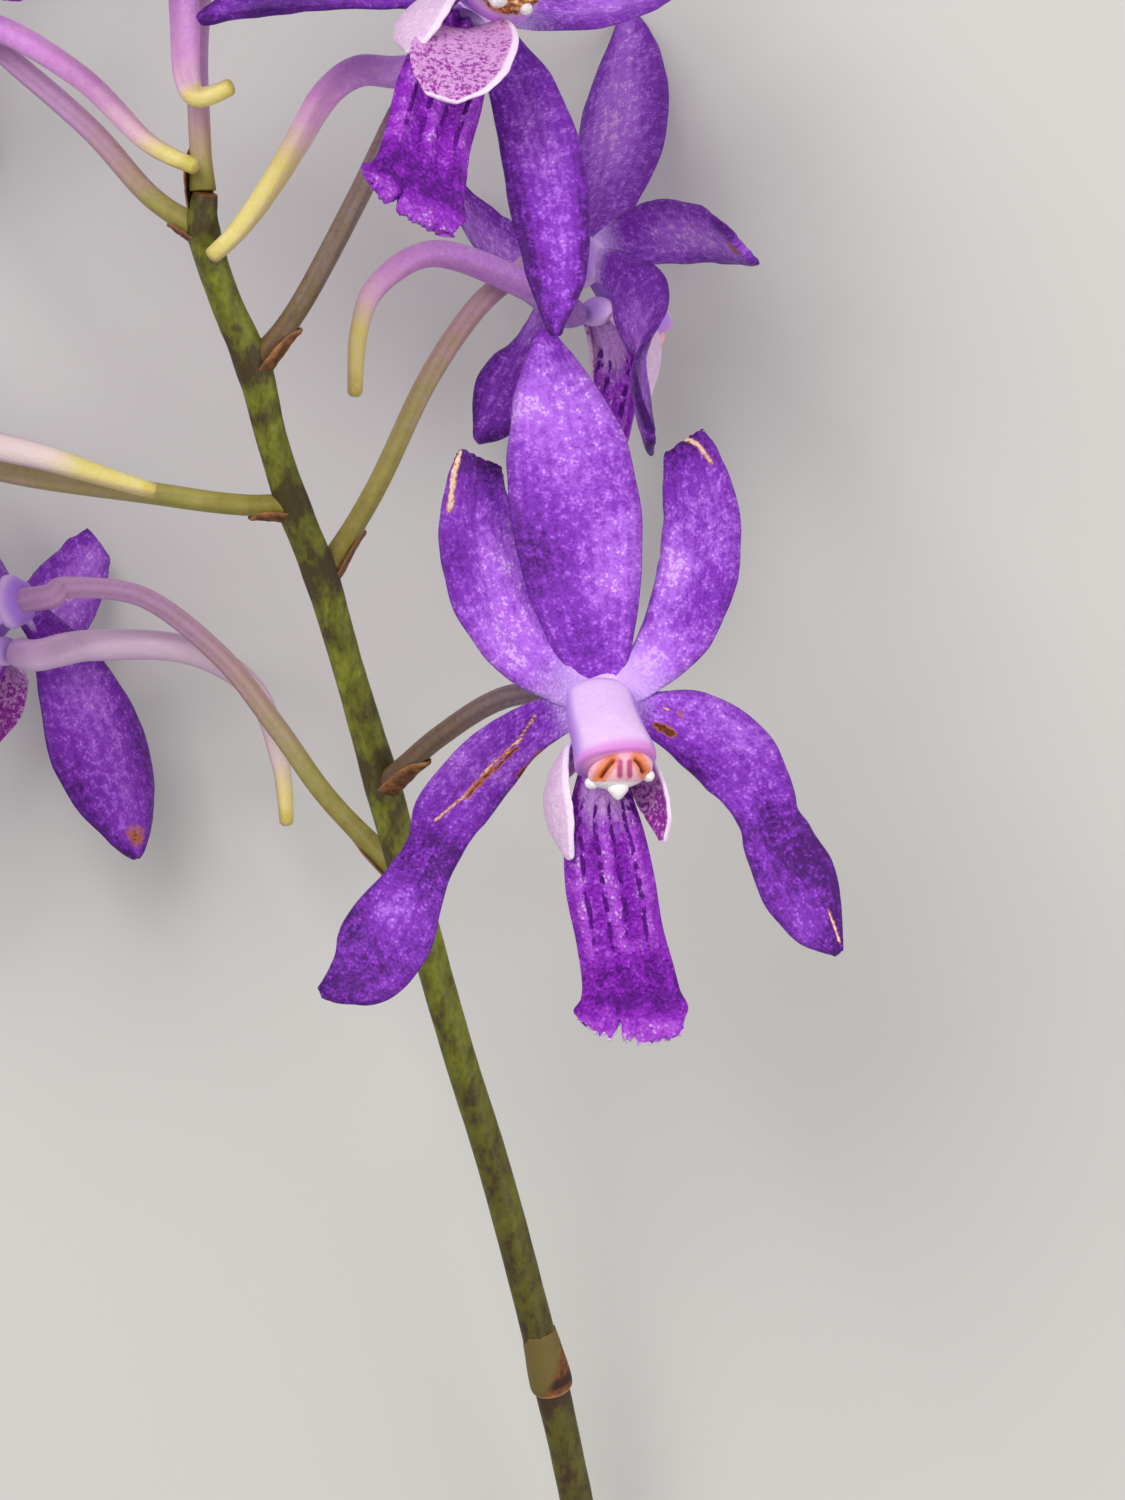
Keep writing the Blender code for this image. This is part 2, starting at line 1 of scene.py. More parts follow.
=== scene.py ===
"""Looks of the orchid flower spike: its tepals, lips, spurs, columns, stalks and stem, and the stage.

Places are worked out in millimetres, as in the part's own source, and turned into metres when a piece
is finished. A bloom has a frame of its own: x to its right as one looks at its face, y towards its
top sepal, z out of its face, from the middle of its base.
"""

import math

import bmesh
import bpy
from bpy.props import FloatProperty, FloatVectorProperty, IntProperty, PointerProperty
from mathutils import Matrix, Vector, noise


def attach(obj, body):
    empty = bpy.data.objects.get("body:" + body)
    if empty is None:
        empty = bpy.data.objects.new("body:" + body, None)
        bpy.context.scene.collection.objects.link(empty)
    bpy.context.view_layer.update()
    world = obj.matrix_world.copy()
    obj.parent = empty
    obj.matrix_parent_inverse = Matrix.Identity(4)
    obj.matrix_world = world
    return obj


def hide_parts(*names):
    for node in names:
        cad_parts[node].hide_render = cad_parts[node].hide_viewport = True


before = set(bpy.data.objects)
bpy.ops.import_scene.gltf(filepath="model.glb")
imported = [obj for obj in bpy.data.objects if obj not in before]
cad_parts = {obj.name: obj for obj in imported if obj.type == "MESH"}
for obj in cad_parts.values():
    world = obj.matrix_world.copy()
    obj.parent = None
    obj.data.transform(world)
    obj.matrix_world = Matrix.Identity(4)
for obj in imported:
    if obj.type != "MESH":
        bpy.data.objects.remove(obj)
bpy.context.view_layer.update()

bl_info = {
    "name": "Orchid Flower Spike",
    "version": (1, 0, 0),
    "blender": (4, 5, 0),
    "location": "View3D > Sidebar > Orchid",
    "description": "Dresses a cut orchid spike with its blooms, stalks, scales and finishes",
    "category": "Add Mesh",
}

MM = 0.001
GAP = 0.35
MIDDLE = (-20.3, -3.2)
ROUND_STEPS = 7
# How near points are merged, and how strongly a blade's columns crowd towards its margins.
MERGE = 2e-4
CROWDING = 1.4
OUTWARD = Vector((0.0, 0.0, 1.0))
TISSUE_IOR = 1.3
COAT_ROUGHNESS = 0.3
# The camera's lens and sensor, in millimetres.
LENS = 91.0
SENSOR = 36.0

STEM = [
    (5.7, -78.4, 0.95, 1.12),
    (3.5, -64.5, 4.6, 1.12),
    (0.9, -50.0, 9.0, 1.12),
    (-1.1, -40.5, 11.9, 1.12),
    (-4.2, -27.9, 16.0, 1.08),
    (-6.9, -18.6, 19.2, 1.05),
    (-9.7, -8.2, 22.2, 1.12),
    (-11.3, -2.2, 23.7, 1.14),
    (-13.3, 5.0, 25.8, 1.0),
    (-14.9, 10.7, 27.5, 1.08),
    (-16.5, 15.0, 29.2, 1.05),
    (-17.7, 19.0, 30.9, 0.98),
    (-18.7, 23.3, 32.6, 1.1),
    (-20.3, 27.2, 34.2, 0.98),
    (-21.4, 31.0, 35.8, 1.0),
    (-21.2, 33.2, 36.5, 0.72),
]
SHEATH_AT = 2.82
SHEATH_HEIGHT = 4.4
SHEATH_RADIUS = 1.42

# Tepals, each along its own y from the bloom's base: x, y, z, half width on either side, roll.
DORSAL = [
    (0.0, 0.0, 0.0, 1.1, 1.1, 0),
    (0.0, 2.0, 0.1, 1.9, 1.8, 0),
    (0.0, 6.0, 0.4, 3.2, 3.1, 0),
    (0.1, 10.6, 0.4, 3.8, 3.8, 0),
    (0.2, 14.8, 0.0, 3.55, 3.5, 0),
    (0.1, 18.2, -0.5, 2.6, 2.4, 0),
    (0.0, 20.8, -0.95, 1.3, 1.2, 0),
    (0.0, 22.3, -1.3, 0.3, 0.3, 0),
]
PETAL = [
    (0.0, 0.0, 0.0, 0.8, 0.8, 0),
    (-1.7, 2.0, 0.4, 1.4, 1.4, 16),
    (-3.1, 5.0, 0.7, 2.3, 2.3, 28),
    (-3.5, 8.4, 0.6, 2.8, 2.8, 34),
    (-2.9, 11.7, 0.1, 2.8, 2.8, 38),
    (-1.7, 14.4, -0.5, 2.4, 2.4, 42),
    (-0.7, 16.1, -1.0, 1.7, 1.7, 46),
]
BROAD_LATERAL = [
    (0.0, 0.0, 0.0, 0.8, 0.8, 0),
    (1.5, 2.6, 0.3, 1.3, 1.2, -10),
    (2.2, 4.9, 0.8, 1.8, 1.7, -26),
    (2.4, 7.6, 1.2, 2.45, 2.3, -36),
    (2.1, 10.6, 1.2, 2.4, 2.2, -28),
    (1.2, 13.0, 0.9, 1.65, 1.6, -4),
    (0.4, 15.2, 0.6, 1.95, 1.95, 16),
    (-0.45, 18.2, 0.2, 2.9, 2.8, 22),
    (-0.85, 20.7, -0.05, 2.6, 2.5, 18),
    (-0.55, 22.5, -0.25, 1.4, 1.35, 8),
    (0.0, 23.8, -0.4, 0.35, 0.35, 0),
]
TAPERED_LATERAL = [
    (0.0, 0.0, 0.0, 0.8, 0.8, 0),
    (1.6, 2.4, 0.3, 1.4, 1.4, -6),
    (2.9, 4.8, 0.8, 2.3, 2.2, -14),
    (3.35, 7.6, 1.2, 2.55, 2.55, -20),
    (3.0, 9.9, 1.2, 2.1, 2.1, -12),
    (2.4, 11.4, 0.95, 1.85, 1.85, 4),
    (1.75, 13.0, 0.7, 2.25, 2.25, 20),
    (1.0, 15.5, 0.4, 2.7, 2.6, 26),
    (0.25, 18.0, 0.0, 1.8, 1.8, 22),
    (0.0, 20.2, -0.3, 0.3, 0.3, 10),
]
# A lateral sepal without the twist, and a broad one that hangs beside the spur.
PLAIN_LATERAL = [
    (0.0, 0.0, 0.0, 0.8, 0.8, 0),
    (0.7, 2.6, 0.3, 1.35, 1.35, -4),
    (1.2, 6.0, 0.8, 2.0, 2.0, -8),
    (1.3, 10.0, 1.0, 2.35, 2.35, -6),
    (1.1, 14.0, 0.8, 2.35, 2.3, 0),
    (0.7, 17.6, 0.4, 1.8, 1.75, 6),
    (0.2, 20.0, 0.1, 0.9, 0.9, 6),
    (0.0, 21.2, 0.0, 0.3, 0.3, 4),
]
HANGING_LATERAL = [
    (0.0, 0.0, 0.0, 0.8, 0.8, 45),
    (1.5, 2.6, 0.3, 1.1, 1.1, 40),
    (2.2, 6.0, 0.6, 1.9, 1.9, 30),
    (1.7, 10.0, 0.6, 3.1, 3.1, 14),
    (0.4, 14.0, 0.4, 4.1, 4.1, 4),
    (-1.3, 18.0, 0.2, 3.5, 3.5, 0),
    (-2.7, 21.0, 0.0, 1.8, 1.8, 0),
    (-3.4, 22.6, 0.0, 0.3, 0.3, 0),
]
# The five tepals in the order of a bloom's aims: name, form, and whether the form is mirrored.
TEPALS = [
    ("top_sepal", DORSAL, False),
    ("left_petal", PETAL, False),
    ("right_petal", PETAL, True),
    ("left_sepal", BROAD_LATERAL, False),
    ("right_sepal", TAPERED_LATERAL, True),
]
MID_LOBE = [
    (0.0, -3.2, 1.5, 1.2, 1.2, 0),
    (-0.1, -5.2, 2.9, 1.7, 1.7, 0),
    (0.0, -7.6, 3.3, 2.3, 2.3, 0),
    (0.35, -10.5, 3.1, 2.6, 2.6, 0),
    (0.85, -13.5, 2.7, 2.6, 2.5, 0),
    (1.4, -16.2, 2.5, 2.8, 2.7, 0),
    (1.55, -18.2, 2.6, 3.1, 3.1, 0),
    (1.4, -19.7, 2.9, 2.6, 2.5, 0),
]
# Side lobes of the lip, both drawn as on the bloom's left: the left one leans in, the right one out.
SIDE_LOBES = [
    [
        (-1.5, -3.0, 1.6, 0.9, 0.9, 0),
        (-2.55, -3.8, 2.8, 1.6, 1.5, -14),
        (-2.85, -5.4, 3.6, 1.8, 1.6, -22),
        (-2.55, -7.2, 4.0, 1.45, 1.3, -28),
        (-1.9, -9.1, 4.3, 0.2, 0.2, -28),
    ],
    [
        (-1.2, -3.0, 1.6, 0.9, 0.9, 0),
        (-2.2, -4.1, 2.9, 1.4, 1.4, -24),
        (-2.85, -5.4, 3.8, 1.45, 1.45, -30),
        (-3.25, -6.7, 4.2, 1.1, 1.1, -34),
        (-3.4, -8.1, 4.4, 0.2, 0.2, -34),
    ],
]
WIDE_SIDE_LOBES = [
    [
        (-1.2, -3.0, 2.0, 1.0, 1.0, -10),
        (-2.3, -4.8, 3.2, 1.9, 1.7, -30),
        (-2.6, -7.0, 4.0, 2.1, 1.9, -34),
        (-2.3, -9.2, 4.4, 1.6, 1.5, -34),
        (-1.9, -10.6, 4.4, 0.5, 0.5, -34),
    ],
    [
        (-0.9, -4.2, 2.8, 1.3, 1.3, -40),
        (-0.8, -7.0, 4.6, 2.4, 2.4, -66),
        (-0.6, -9.8, 5.3, 2.9, 2.9, -74),
        (-0.7, -12.2, 5.4, 2.4, 2.4, -74),
        (-0.8, -13.8, 5.2, 0.9, 0.9, -74),
    ],
]
COLUMN = [(0.0, 0.7, 2.1, 1.0), (0.15, -0.8, 3.4, 1.7), (0.4, -2.2, 4.55, 1.95), (0.6, -3.1, 5.15, 2.05)]
COLUMN_SKIN = [
    (-0.3, 0.6, 0.8, 1.45),
    (-0.25, 0.0, 1.8, 1.95),
    (-0.1, -0.95, 3.0, 2.05),
    (0.25, -2.1, 4.35, 2.15),
    (0.55, -3.1, 5.15, 2.35),
    (0.68, -3.7, 5.5, 2.35),
]
CAP_RADII = (1.95, 1.3, 1.0)
CAP_NUDGE = (0.05, 0.25, 0.0)
BASE_RADII = (1.8, 1.8, 1.1)
LIP_BASE = (0.0, -3.1, 1.25)
LIP_BASE_RADII = (1.6, 1.0, 0.85)
SPUR_START = (0.0, -3.35, -0.1)
SPUR_RADII = (0.9, 0.98, 0.78, 0.5)
STALK_RADII = (0.68, 0.7, 0.74, 0.86)
BRACT_LENGTH = 2.8
# The places along a bract, as shares of its length, with half its width there.
BRACT_OUTLINE = ((-0.5, 0.9), (0.0, 1.1), (0.4, 1.05), (0.75, 0.8), (1.0, 0.12))
# The cleft in the end of the lip: how far across, and its half width.
CLEFT = (0.25, 0.12)
# Slits of the anther cap, and its beak and two knobs: where from its middle, and radii.
CAP_SLITS = [[(-0.5, 0.62), (-0.85, 0.2), (-1.25, -0.42)], [(0.95, 0.66), (1.2, 0.4), (1.4, -0.1)]]
CAP_BEAK = ((-0.15, -1.0, 0.1), (0.62, 0.72, 0.5))
CAP_KNOBS = [((-1.62, -0.72, -0.15), (0.42, 0.36, 0.4)), ((1.6, -0.3, -0.1), (0.36, 0.36, 0.4))]

# Blooms: base, face, up, tepal aims (turn, lean, size, roll, bow), stem node, stalk and spur routes, lip
# aim (lean, turn), and tones: how violet the spur is, how mauve the stalk is, how withered the anther cap
# is, how far along the spur turns yellow, and how soon the stalk turns pink. Some have lower sepals of
# other forms, laterals, or a spur that starts thicker by a girth.
BLOOMS = {
    "flower_1": {
        "base": (2.4, 2.8, 40.2),
        "face": (0.0, 0.0, 1.0),
        "up": (0.0, 1.0, 0.0),
        "tepals": [
            (9, 0, 1.0, 0, 1.0), (24.4, 0, 1.0, 0, 1.0), (-14.8, 0, 1.0, 0, 1.0),
            (135.7, 0, 1.0, 0, 1.0), (-136.8, 0, 1.0, 0, 1.0),
        ],
        "node": 7.0,
        "stalk": [(-7.6, 0.8, 29.0), (-3.4, 3.2, 33.0), (1.2, 3.4, 36.0)],
        "spur": [
            (2.4, -1.2, 37.0), (2.7, -3.6, 33.9), (3.1, -7.2, 31.6), (3.5, -11.4, 30.5),
            (3.7, -15.0, 30.2),
        ],
        "lip": (0, 0),
        "tones": (0.9, 1.0, 0.0, 0.7, 1.0),
    },
    "flower_2": {
        "base": (-5.2, 44.1, 36.6),
        "face": (0.40, 0.50, 0.77),
        "up": (0.5, 0.87, 0.0),
        "tepals": [
            (4, 4, 1.0, 0, 1.0), (26, 0, 1.0, 0, 1.0), (-30, 4, 1.0, 0, 1.0),
            (130, -5, 0.83, 22, 1.0), (-144, -5, 1.06, 18, 1.0),
        ],
        "node": 12.0,
        "stalk": [(-15.7, 26.9, 33.9), (-12.5, 33.1, 33.0), (-9.6, 39.2, 32.0), (-7.0, 42.0, 33.2)],
        "spur": [
            (-9.7, 40.3, 36.6), (-12.2, 40.6, 35.2), (-14.2, 39.3, 34.6), (-15.8, 36.5, 35.2),
            (-17.5, 33.4, 36.3), (-19.3, 30.7, 37.3), (-20.9, 29.1, 37.7),
        ],
        "lip": (-3.5, 2),
        "laterals": (PLAIN_LATERAL, PLAIN_LATERAL),
        "tones": (0.85, 0.9, 1.0, 0.62, 1.0),
    },
    "flower_3": {
        "base": (1.5, 32.0, 13.6),
        "face": (0.80, -0.10, -0.60),
        "up": (0.0, 1.0, 0.0),
        "tepals": [
            (-24, 24, 1.06, 20, 1.0), (92, 14, 0.84, 20, -0.6), (-57, -14, 0.88, 0, 1.0),
            (134, -10, 0.8, 22, 1.0), (-135, 2, 0.78, 0, 1.0),
        ],
        "node": 9.0,
        "stalk": [(-11.6, 16.5, 25.0), (-8.6, 23.4, 21.4), (-5.6, 28.4, 17.8), (-2.7, 31.2, 15.6)],
        "spur": [
            (-2.4, 29.8, 18.9), (-8.0, 31.6, 20.6), (-11.6, 29.6, 21.6), (-12.9, 26.6, 21.6),
            (-13.2, 22.4, 21.2),
        ],
        "lip": (0, 0),
        "tones": (0.85, 0.1, 0.0, 0.76, 1.3),
    },
    "flower_4": {
        "base": (-35.9, 9.7, 13.8),
        "face": (-0.85, -0.10, -0.50),
        "up": (0.0, 1.0, 0.0),
        "tepals": [
            (0, 37, 0.92, 0, 1.0), (66, 11, 0.78, -45, 1.0), (-66, 3, 0.93, 0, 1.0),
            (149, -9, 0.83, 8, 1.0), (-124, 8, 0.87, 0, 1.0),
        ],
        "node": 6.0,
        "stalk": [
            (-14.9, -3.2, 19.6), (-18.3, 1.3, 17.6), (-22.1, 6.0, 16.0), (-27.2, 9.9, 15.0),
            (-32.2, 10.6, 14.6),
        ],
        "spur": [
            (-31.0, 6.9, 12.0), (-24.8, 6.6, 11.6), (-20.4, 4.0, 11.8), (-18.6, -0.7, 12.4),
            (-18.1, -5.0, 13.0),
        ],
        "lip": (9, 8),
        "laterals": (HANGING_LATERAL, TAPERED_LATERAL),
        "tones": (0.2, 0.1, 0.0, 0.84, 1.5),
        "girth": 1.2,
    },
    "flower_5": {
        "base": (-46.0, 21.6, 35.0),
        "face": (-0.80, 0.25, 0.50),
        "up": (0.0, 0.3, -1.0),
        "tepals": [
            (0, 0, 1.0, 0, 1.0), (30, 5, 1.0, 0, 1.0), (-28, 5, 1.0, 0, 1.0),
            (135, 0, 0.9, 0, 1.0), (-135, 0, 0.9, 0, 1.0),
        ],
        "node": 10.0,
        "stalk": [(-20.6, 15.1, 29.7), (-25.0, 15.7, 30.0), (-34.3, 17.1, 30.8), (-41.0, 19.6, 32.2)],
        "spur": [
            (-41.4, 19.6, 38.0), (-36.8, 18.8, 35.6), (-31.6, 17.7, 34.0), (-27.6, 16.5, 33.0),
            (-24.5, 15.6, 32.6),
        ],
        "lip": (0, 0),
        "tones": (0.0, 0.0, 0.0, 0.7, 0.9),
        "girth": 1.2,
    },
    "flower_6": {
        "base": (-42.9, 51.0, 17.6),
        "face": (-0.65, 0.45, -0.60),
        "up": (0.3, 0.8, 0.2),
        "tepals": [
            (0, 0, 1.0, 0, 1.0), (30, 5, 1.0, 0, 1.0), (-34, 5, 1.0, 0, 1.0),
            (138, 10, 0.94, 0, 1.0), (-132, 0, 0.9, 0, 1.0),
        ],
        "node": 14.0,
        "stalk": [(-24.8, 33.3, 34.6), (-28.6, 37.6, 32.0), (-34.0, 42.6, 27.6), (-39.0, 47.2, 22.0)],
        "spur": [
            (-40.4, 45.0, 20.6), (-38.2, 44.2, 26.6), (-34.6, 44.0, 31.2), (-28.8, 40.2, 35.4),
            (-24.6, 36.0, 37.6), (-21.5, 34.3, 38.6),
        ],
        "lip": (0, 0),
        "tones": (1.0, 0.1, 0.0, 0.84, 2.4),
    },
    "flower_7": {
        "base": (-21.8, 56.0, 38.4),
        "face": (-0.35, 0.60, 0.70),
        "up": (0.6, 0.6, -0.5),
        "tepals": [
            (0, 0, 1.0, 0, 1.0), (30, 5, 1.0, 0, 1.0), (-30, 5, 1.0, 0, 1.0),
            (134, 0, 0.9, 0, 1.0), (-134, 0, 0.9, 0, 1.0),
        ],
        "node": 14.7,
        "stalk": [(-21.6, 37.0, 36.4), (-21.9, 42.0, 34.6), (-21.6, 48.0, 34.4), (-21.4, 53.0, 35.8)],
        "spur": [
            (-22.6, 49.4, 39.6), (-22.2, 43.4, 39.4), (-22.0, 39.4, 39.8), (-21.2, 38.2, 40.2),
            (-19.2, 38.8, 40.6),
        ],
        "lip": (0, 0),
        "tones": (0.8, 0.0, 0.0, 0.72, 3.5),
    },
}

# The blooms that fill most of the view, which have finer meshes.
NEAR = ("flower_1", "flower_2")

# Lighter and darker patches of the open bloom's tepals, partly the tissue's own tone and partly painted
# highlight, painted shade and painted shadow where the folds catch or lose the light, in its frame: x, y,
# radius, how much lighter.
PAINTED_LIGHT_AND_TONE_PATCHES = {
    "top_sepal": [
        (-1.6, 18.0, 3.2, 0.26), (1.8, 9.5, 2.2, 0.2), (-4.3, 8.2, 2.6, -0.3),
        (-2.0, 3.4, 2.4, -0.2), (-5.2, 17.3, 1.3, 0.3), (-0.6, 6.6, 1.8, 0.12),
    ],
    "left_petal": [
        (-4.9, 3.6, 2.6, 0.3), (-5.6, 8.2, 2.4, 0.26), (-9.4, 8.2, 2.0, -0.24), (-6.6, 14.2, 2.4, -0.3),
    ],
    "right_petal": [
        (4.3, 7.8, 1.9, 0.36), (3.0, 2.4, 2.0, 0.3), (7.2, 6.0, 1.9, -0.24), (5.2, 14.6, 2.0, -0.26),
    ],
    "left_sepal": [
        (-8.6, -2.9, 1.9, 0.1), (-12.0, -12.4, 2.0, 0.3), (-8.9, -8.6, 2.0, -0.22), (-15.0, -13.0, 1.8, -0.2),
        (-6.4, -5.8, 1.2, -0.2),
    ],
    "right_sepal": [
        (7.6, -2.2, 1.7, 0.12), (5.6, -4.0, 1.8, -0.3), (11.4, -9.2, 2.4, -0.2), (11.6, -13.4, 1.1, 0.2),
    ],
}
# Healed tears and spots of the open bloom, in its frame: kind, half width, and the line it follows.
SCARS = {
    "left_sepal": [
        ("cream", 0.1, [(-4.0, -0.8), (-5.0, -2.3), (-6.8, -4.0), (-7.9, -5.3), (-9.8, -6.9)]),
        ("rust", 0.13, [(-5.0, -2.6), (-6.9, -4.4), (-7.9, -5.5)]),
        ("rust", 0.2, [(-3.5, -2.9), (-4.9, -4.3)]),
    ],
    "right_sepal": [
        ("rust", 0.27, [(3.2, -1.4), (3.9, -1.8)]),
        ("rust", 0.12, [(4.4, -0.6), (4.5, -0.8)]),
        ("cream", 0.06, [(3.4, -0.3), (3.9, -0.5)]),
        ("cream", 0.08, [(13.2, -12.2), (13.8, -14.0)]),
    ],
    "left_petal": [
        ("cream", 0.2, [(-8.4, 14.6), (-8.75, 13.1), (-8.95, 11.2)]),
        ("cream", 0.12, [(-6.6, 15.5), (-8.0, 14.9)]),
    ],
    "right_petal": [
        ("cream", 0.15, [(4.2, 15.7), (5.5, 15.1), (6.3, 13.9)]),
    ],
}
# Spots near a tepal's tip on other blooms: how far along, how far across, radius in millimetres.
TIP_SPOTS = {
    ("flower_4", "left_sepal"): (0.86, 0.1, 0.9),
    ("flower_3", "left_petal"): (0.9, 0.0, 0.8),
}


def srgb(red, green, blue):
    """A colour as shaders take it, from its 0 to 255 screen values."""
    shares = [value / 255 for value in (red, green, blue)]
    return tuple(s / 12.92 if s <= 0.04045 else ((s + 0.055) / 1.055) ** 2.4 for s in shares) + (1.0,)


def smooth(low, high, value):
    """0 below low, 1 above high, and an even ease between them. low may be the larger."""
    share = min(max((value - low) / (high - low), 0.0), 1.0)
    return share * share * (3 - 2 * share)


def wavy(*place):
    """Even noise from about -1 to 1 at a place."""
    return noise.noise(Vector(place))


def along(stations, t):
    """The station at t from 0 to 1 along a list of them, on a smooth curve through every one."""
    spans = len(stations) - 1
    place = min(max(t, 0.0), 1.0) * spans
    i = min(int(place), spans - 1)
    f = place - i
    before = stations[max(i - 1, 0)]
    after = stations[min(i + 2, spans)]
    values = []
    for a, b, c, d in zip(before, stations[i], stations[i + 1], after):
        curve = (2 * a - 5 * b + 4 * c - d) * f * f + (3 * b - a - 3 * c + d) * f ** 3
        values.append(0.5 * (2 * b + (c - a) * f + curve))
    return values


def heading(stations, t):
    """The direction of travel along the stations at t."""
    step = 0.01
    ahead = Vector(along(stations, min(t + step, 1.0))[:3])
    behind = Vector(along(stations, max(t - step, 0.0))[:3])
    return (ahead - behind).normalized()


def length_of(stations):
    """Length of the line through the stations."""
    places = [Vector(along(stations, i / 60)[:3]) for i in range(61)]
    return sum((b - a).length for a, b in zip(places, places[1:]))


def off_line(place, line):
    """Distance of a flat place from a line of flat points."""
    nearest = 1e9
    for a, b in zip(line, line[1:]):
        a, b = Vector(a), Vector(b)
        share = min(max((place - a).dot(b - a) / (b - a).length_squared, 0.0), 1.0)
        nearest = min(nearest, (place - a - (b - a) * share).length)
    return nearest


def new_mesh():
    """An empty bmesh with a UV map and the marks that the finishes read."""
    bm = bmesh.new()
    bm.loops.layers.uv.new("UVMap")
    bm.verts.layers.float_color.new("marks")
    return bm


def marks_of(bm):
    """The layer that holds a mesh's marks."""
    return bm.verts.layers.float_color["marks"]


def blade(stations, forward, rows, columns, wall, cup, relief, marks, place):
    """A closed blade, thin at its margins, whose face looks forward where its roll is 0.

    relief(t, v) gives how far a point moves across, out of the face and ahead. marks(t, v, side, point)
    gives the four values that its finish reads. place takes the blade's own points to the spike's.
    """
    bm = new_mesh()
    tint = marks_of(bm)
    bmesh.ops.create_grid(bm, x_segments=columns, y_segments=rows, size=1.0, calc_uvs=True)
    copy = bmesh.ops.duplicate(bm, geom=bm.verts[:] + bm.edges[:] + bm.faces[:])["geom"]
    back = {item for item in copy if isinstance(item, bmesh.types.BMVert)}
    cross_sections = {}
    rim = []
    for vert in bm.verts:
        row = round((vert.co.y + 1) / 2 * rows)
        column = round((vert.co.x + 1) / 2 * columns)
        t = row / rows
        u = 2 * column / columns - 1
        v = math.copysign(1 - (1 - abs(u)) ** CROWDING, u)
        if row not in cross_sections:
            ahead = heading(stations, t)
            normal = (forward - ahead * forward.dot(ahead)).normalized()
            x, y, z, left, right, roll = along(stations, t)
            normal.rotate(Matrix.Rotation(math.radians(roll), 3, ahead))
            cross_sections[row] = (Vector((x, y, z)), left, right, ahead.cross(normal), normal, ahead)
        middle, left, right, across, normal, ahead = cross_sections[row]
        half = max(right if v > 0 else left, 0.02)
        side = -1 if vert in back else 1
        out, lift, on = relief(t, v)
        body = math.sqrt(max(0.0, 1 - abs(v) ** 5)) * math.sqrt(min(1.0, t * 30))
        body *= math.sqrt(min(1.0, (1 - t) * 22))
        point = middle + across * (half * v + out) + ahead * on
        point += normal * (half * cup * v * v + lift + side * wall / 2 * body)
        vert[tint] = marks(t, v, side, point)
        vert.co = place @ point
        if row in (0, rows) or column in (0, columns):
            rim.append(vert)
    bmesh.ops.remove_doubles(bm, verts=rim, dist=MERGE)
    bmesh.ops.recalc_face_normals(bm, faces=bm.faces)
    return bm


def ring_plan(rows, start, end):
    """Places along a tube and their share of its radius, so that both its ends close."""
    turns = [math.pi / 2 * step / ROUND_STEPS for step in range(ROUND_STEPS)]
    plan = [(start * (1 - math.cos(turn)), math.sin(turn)) for turn in turns]
    plan += [(start + (1 - start - end) * row / rows, 1.0) for row in range(rows + 1)]
    return plan + [(1 - end * (1 - math.cos(turn)), math.sin(turn)) for turn in reversed(turns)]


def tube(stations, rows, sides, section, marks, place, start=0.0, end=0.0):
    """A closed tube along stations of x, y, z and radius.

    start and end are the lengths over which it rounds off, and 0 leaves a flat cut. section(t, turn) gives
    its reach across and through, for a radius of 1. marks(t, turn, share) gives its finish's values.
    """
    bm = new_mesh()
    tint = marks_of(bm)
    long = length_of(stations)
    plan = ring_plan(rows, start / long, end / long)
    bmesh.ops.create_grid(bm, x_segments=sides, y_segments=len(plan) - 1, size=1.0, calc_uvs=True)
    side = Vector((1.0, 0.0, 0.0))
    if abs(heading(stations, 0).x) > 0.8:
        side = Vector((0.0, 0.0, 1.0))
    rings = []
    for t, share in plan:
        *centre, radius = along(stations, t)
        ahead = heading(stations, t)
        side = (side - ahead * side.dot(ahead)).normalized()
        rings.append((t, share, Vector(centre), side.copy(), ahead.cross(side), radius))
    for vert in bm.verts:
        t, share, centre, across, through, radius = rings[round((vert.co.y + 1) / 2 * (len(plan) - 1))]
        turn = math.pi * vert.co.x
        wide, deep = section(t, turn)
        vert[tint] = marks(t, turn, share)
        vert.co = place @ (centre + (across * wide + through * deep) * radius * share)
    bmesh.ops.remove_doubles(bm, verts=bm.verts, dist=MERGE)
    bmesh.ops.recalc_face_normals(bm, faces=bm.faces)
    return bm


def lump(bm, radii, place, shape, detail=(36, 26)):
    """Adds a closed rounded form to a bmesh. shape(direction) gives its reach and its marks."""
    tint = marks_of(bm)
    turns, levels = detail
    made = bmesh.ops.create_uvsphere(
        bm, u_segments=turns, v_segments=levels, radius=1.0, calc_uvs=True)
    for vert in made["verts"]:
        reach, marks = shape(vert.co.normalized())
        vert[tint] = marks
        vert.co = place @ (Vector(a * b for a, b in zip(vert.co, radii)) * reach)
    return bm


def finish(name, bm, material, node):
    """Turns a bmesh in the spike's millimetres into a finished piece that stands for a node of the part."""
    shift = Matrix.Translation((-MIDDLE[0], -MIDDLE[1], 0))
    bmesh.ops.transform(bm, matrix=Matrix.Scale(MM, 4) @ shift, verts=bm.verts)
    mesh = bpy.data.meshes.new(name)
    bm.to_mesh(mesh)
    bm.free()
    mesh.materials.append(material)
    mesh.shade_smooth()
    piece = bpy.data.objects.new(name, mesh)
    bpy.context.scene.collection.objects.link(piece)
    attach(piece, "root")
    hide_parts(node)
    return piece


def axes_of(bloom):
    """The bloom's frame: the matrix that takes its own places to the spike's."""
    face = Vector(bloom["face"]).normalized()
    up = Vector(bloom["up"])
    up = (up - face * up.dot(face)).normalized()
    turn = Matrix((up.cross(face), up, face)).transposed()
    return Matrix.Translation(bloom["base"]) @ turn.to_4x4()


def turned(turn, lean):
    """A turn about z after a lean about x, both in degrees."""
    return Matrix.Rotation(math.radians(turn), 4, "Z") @ Matrix.Rotation(math.radians(lean), 4, "X")


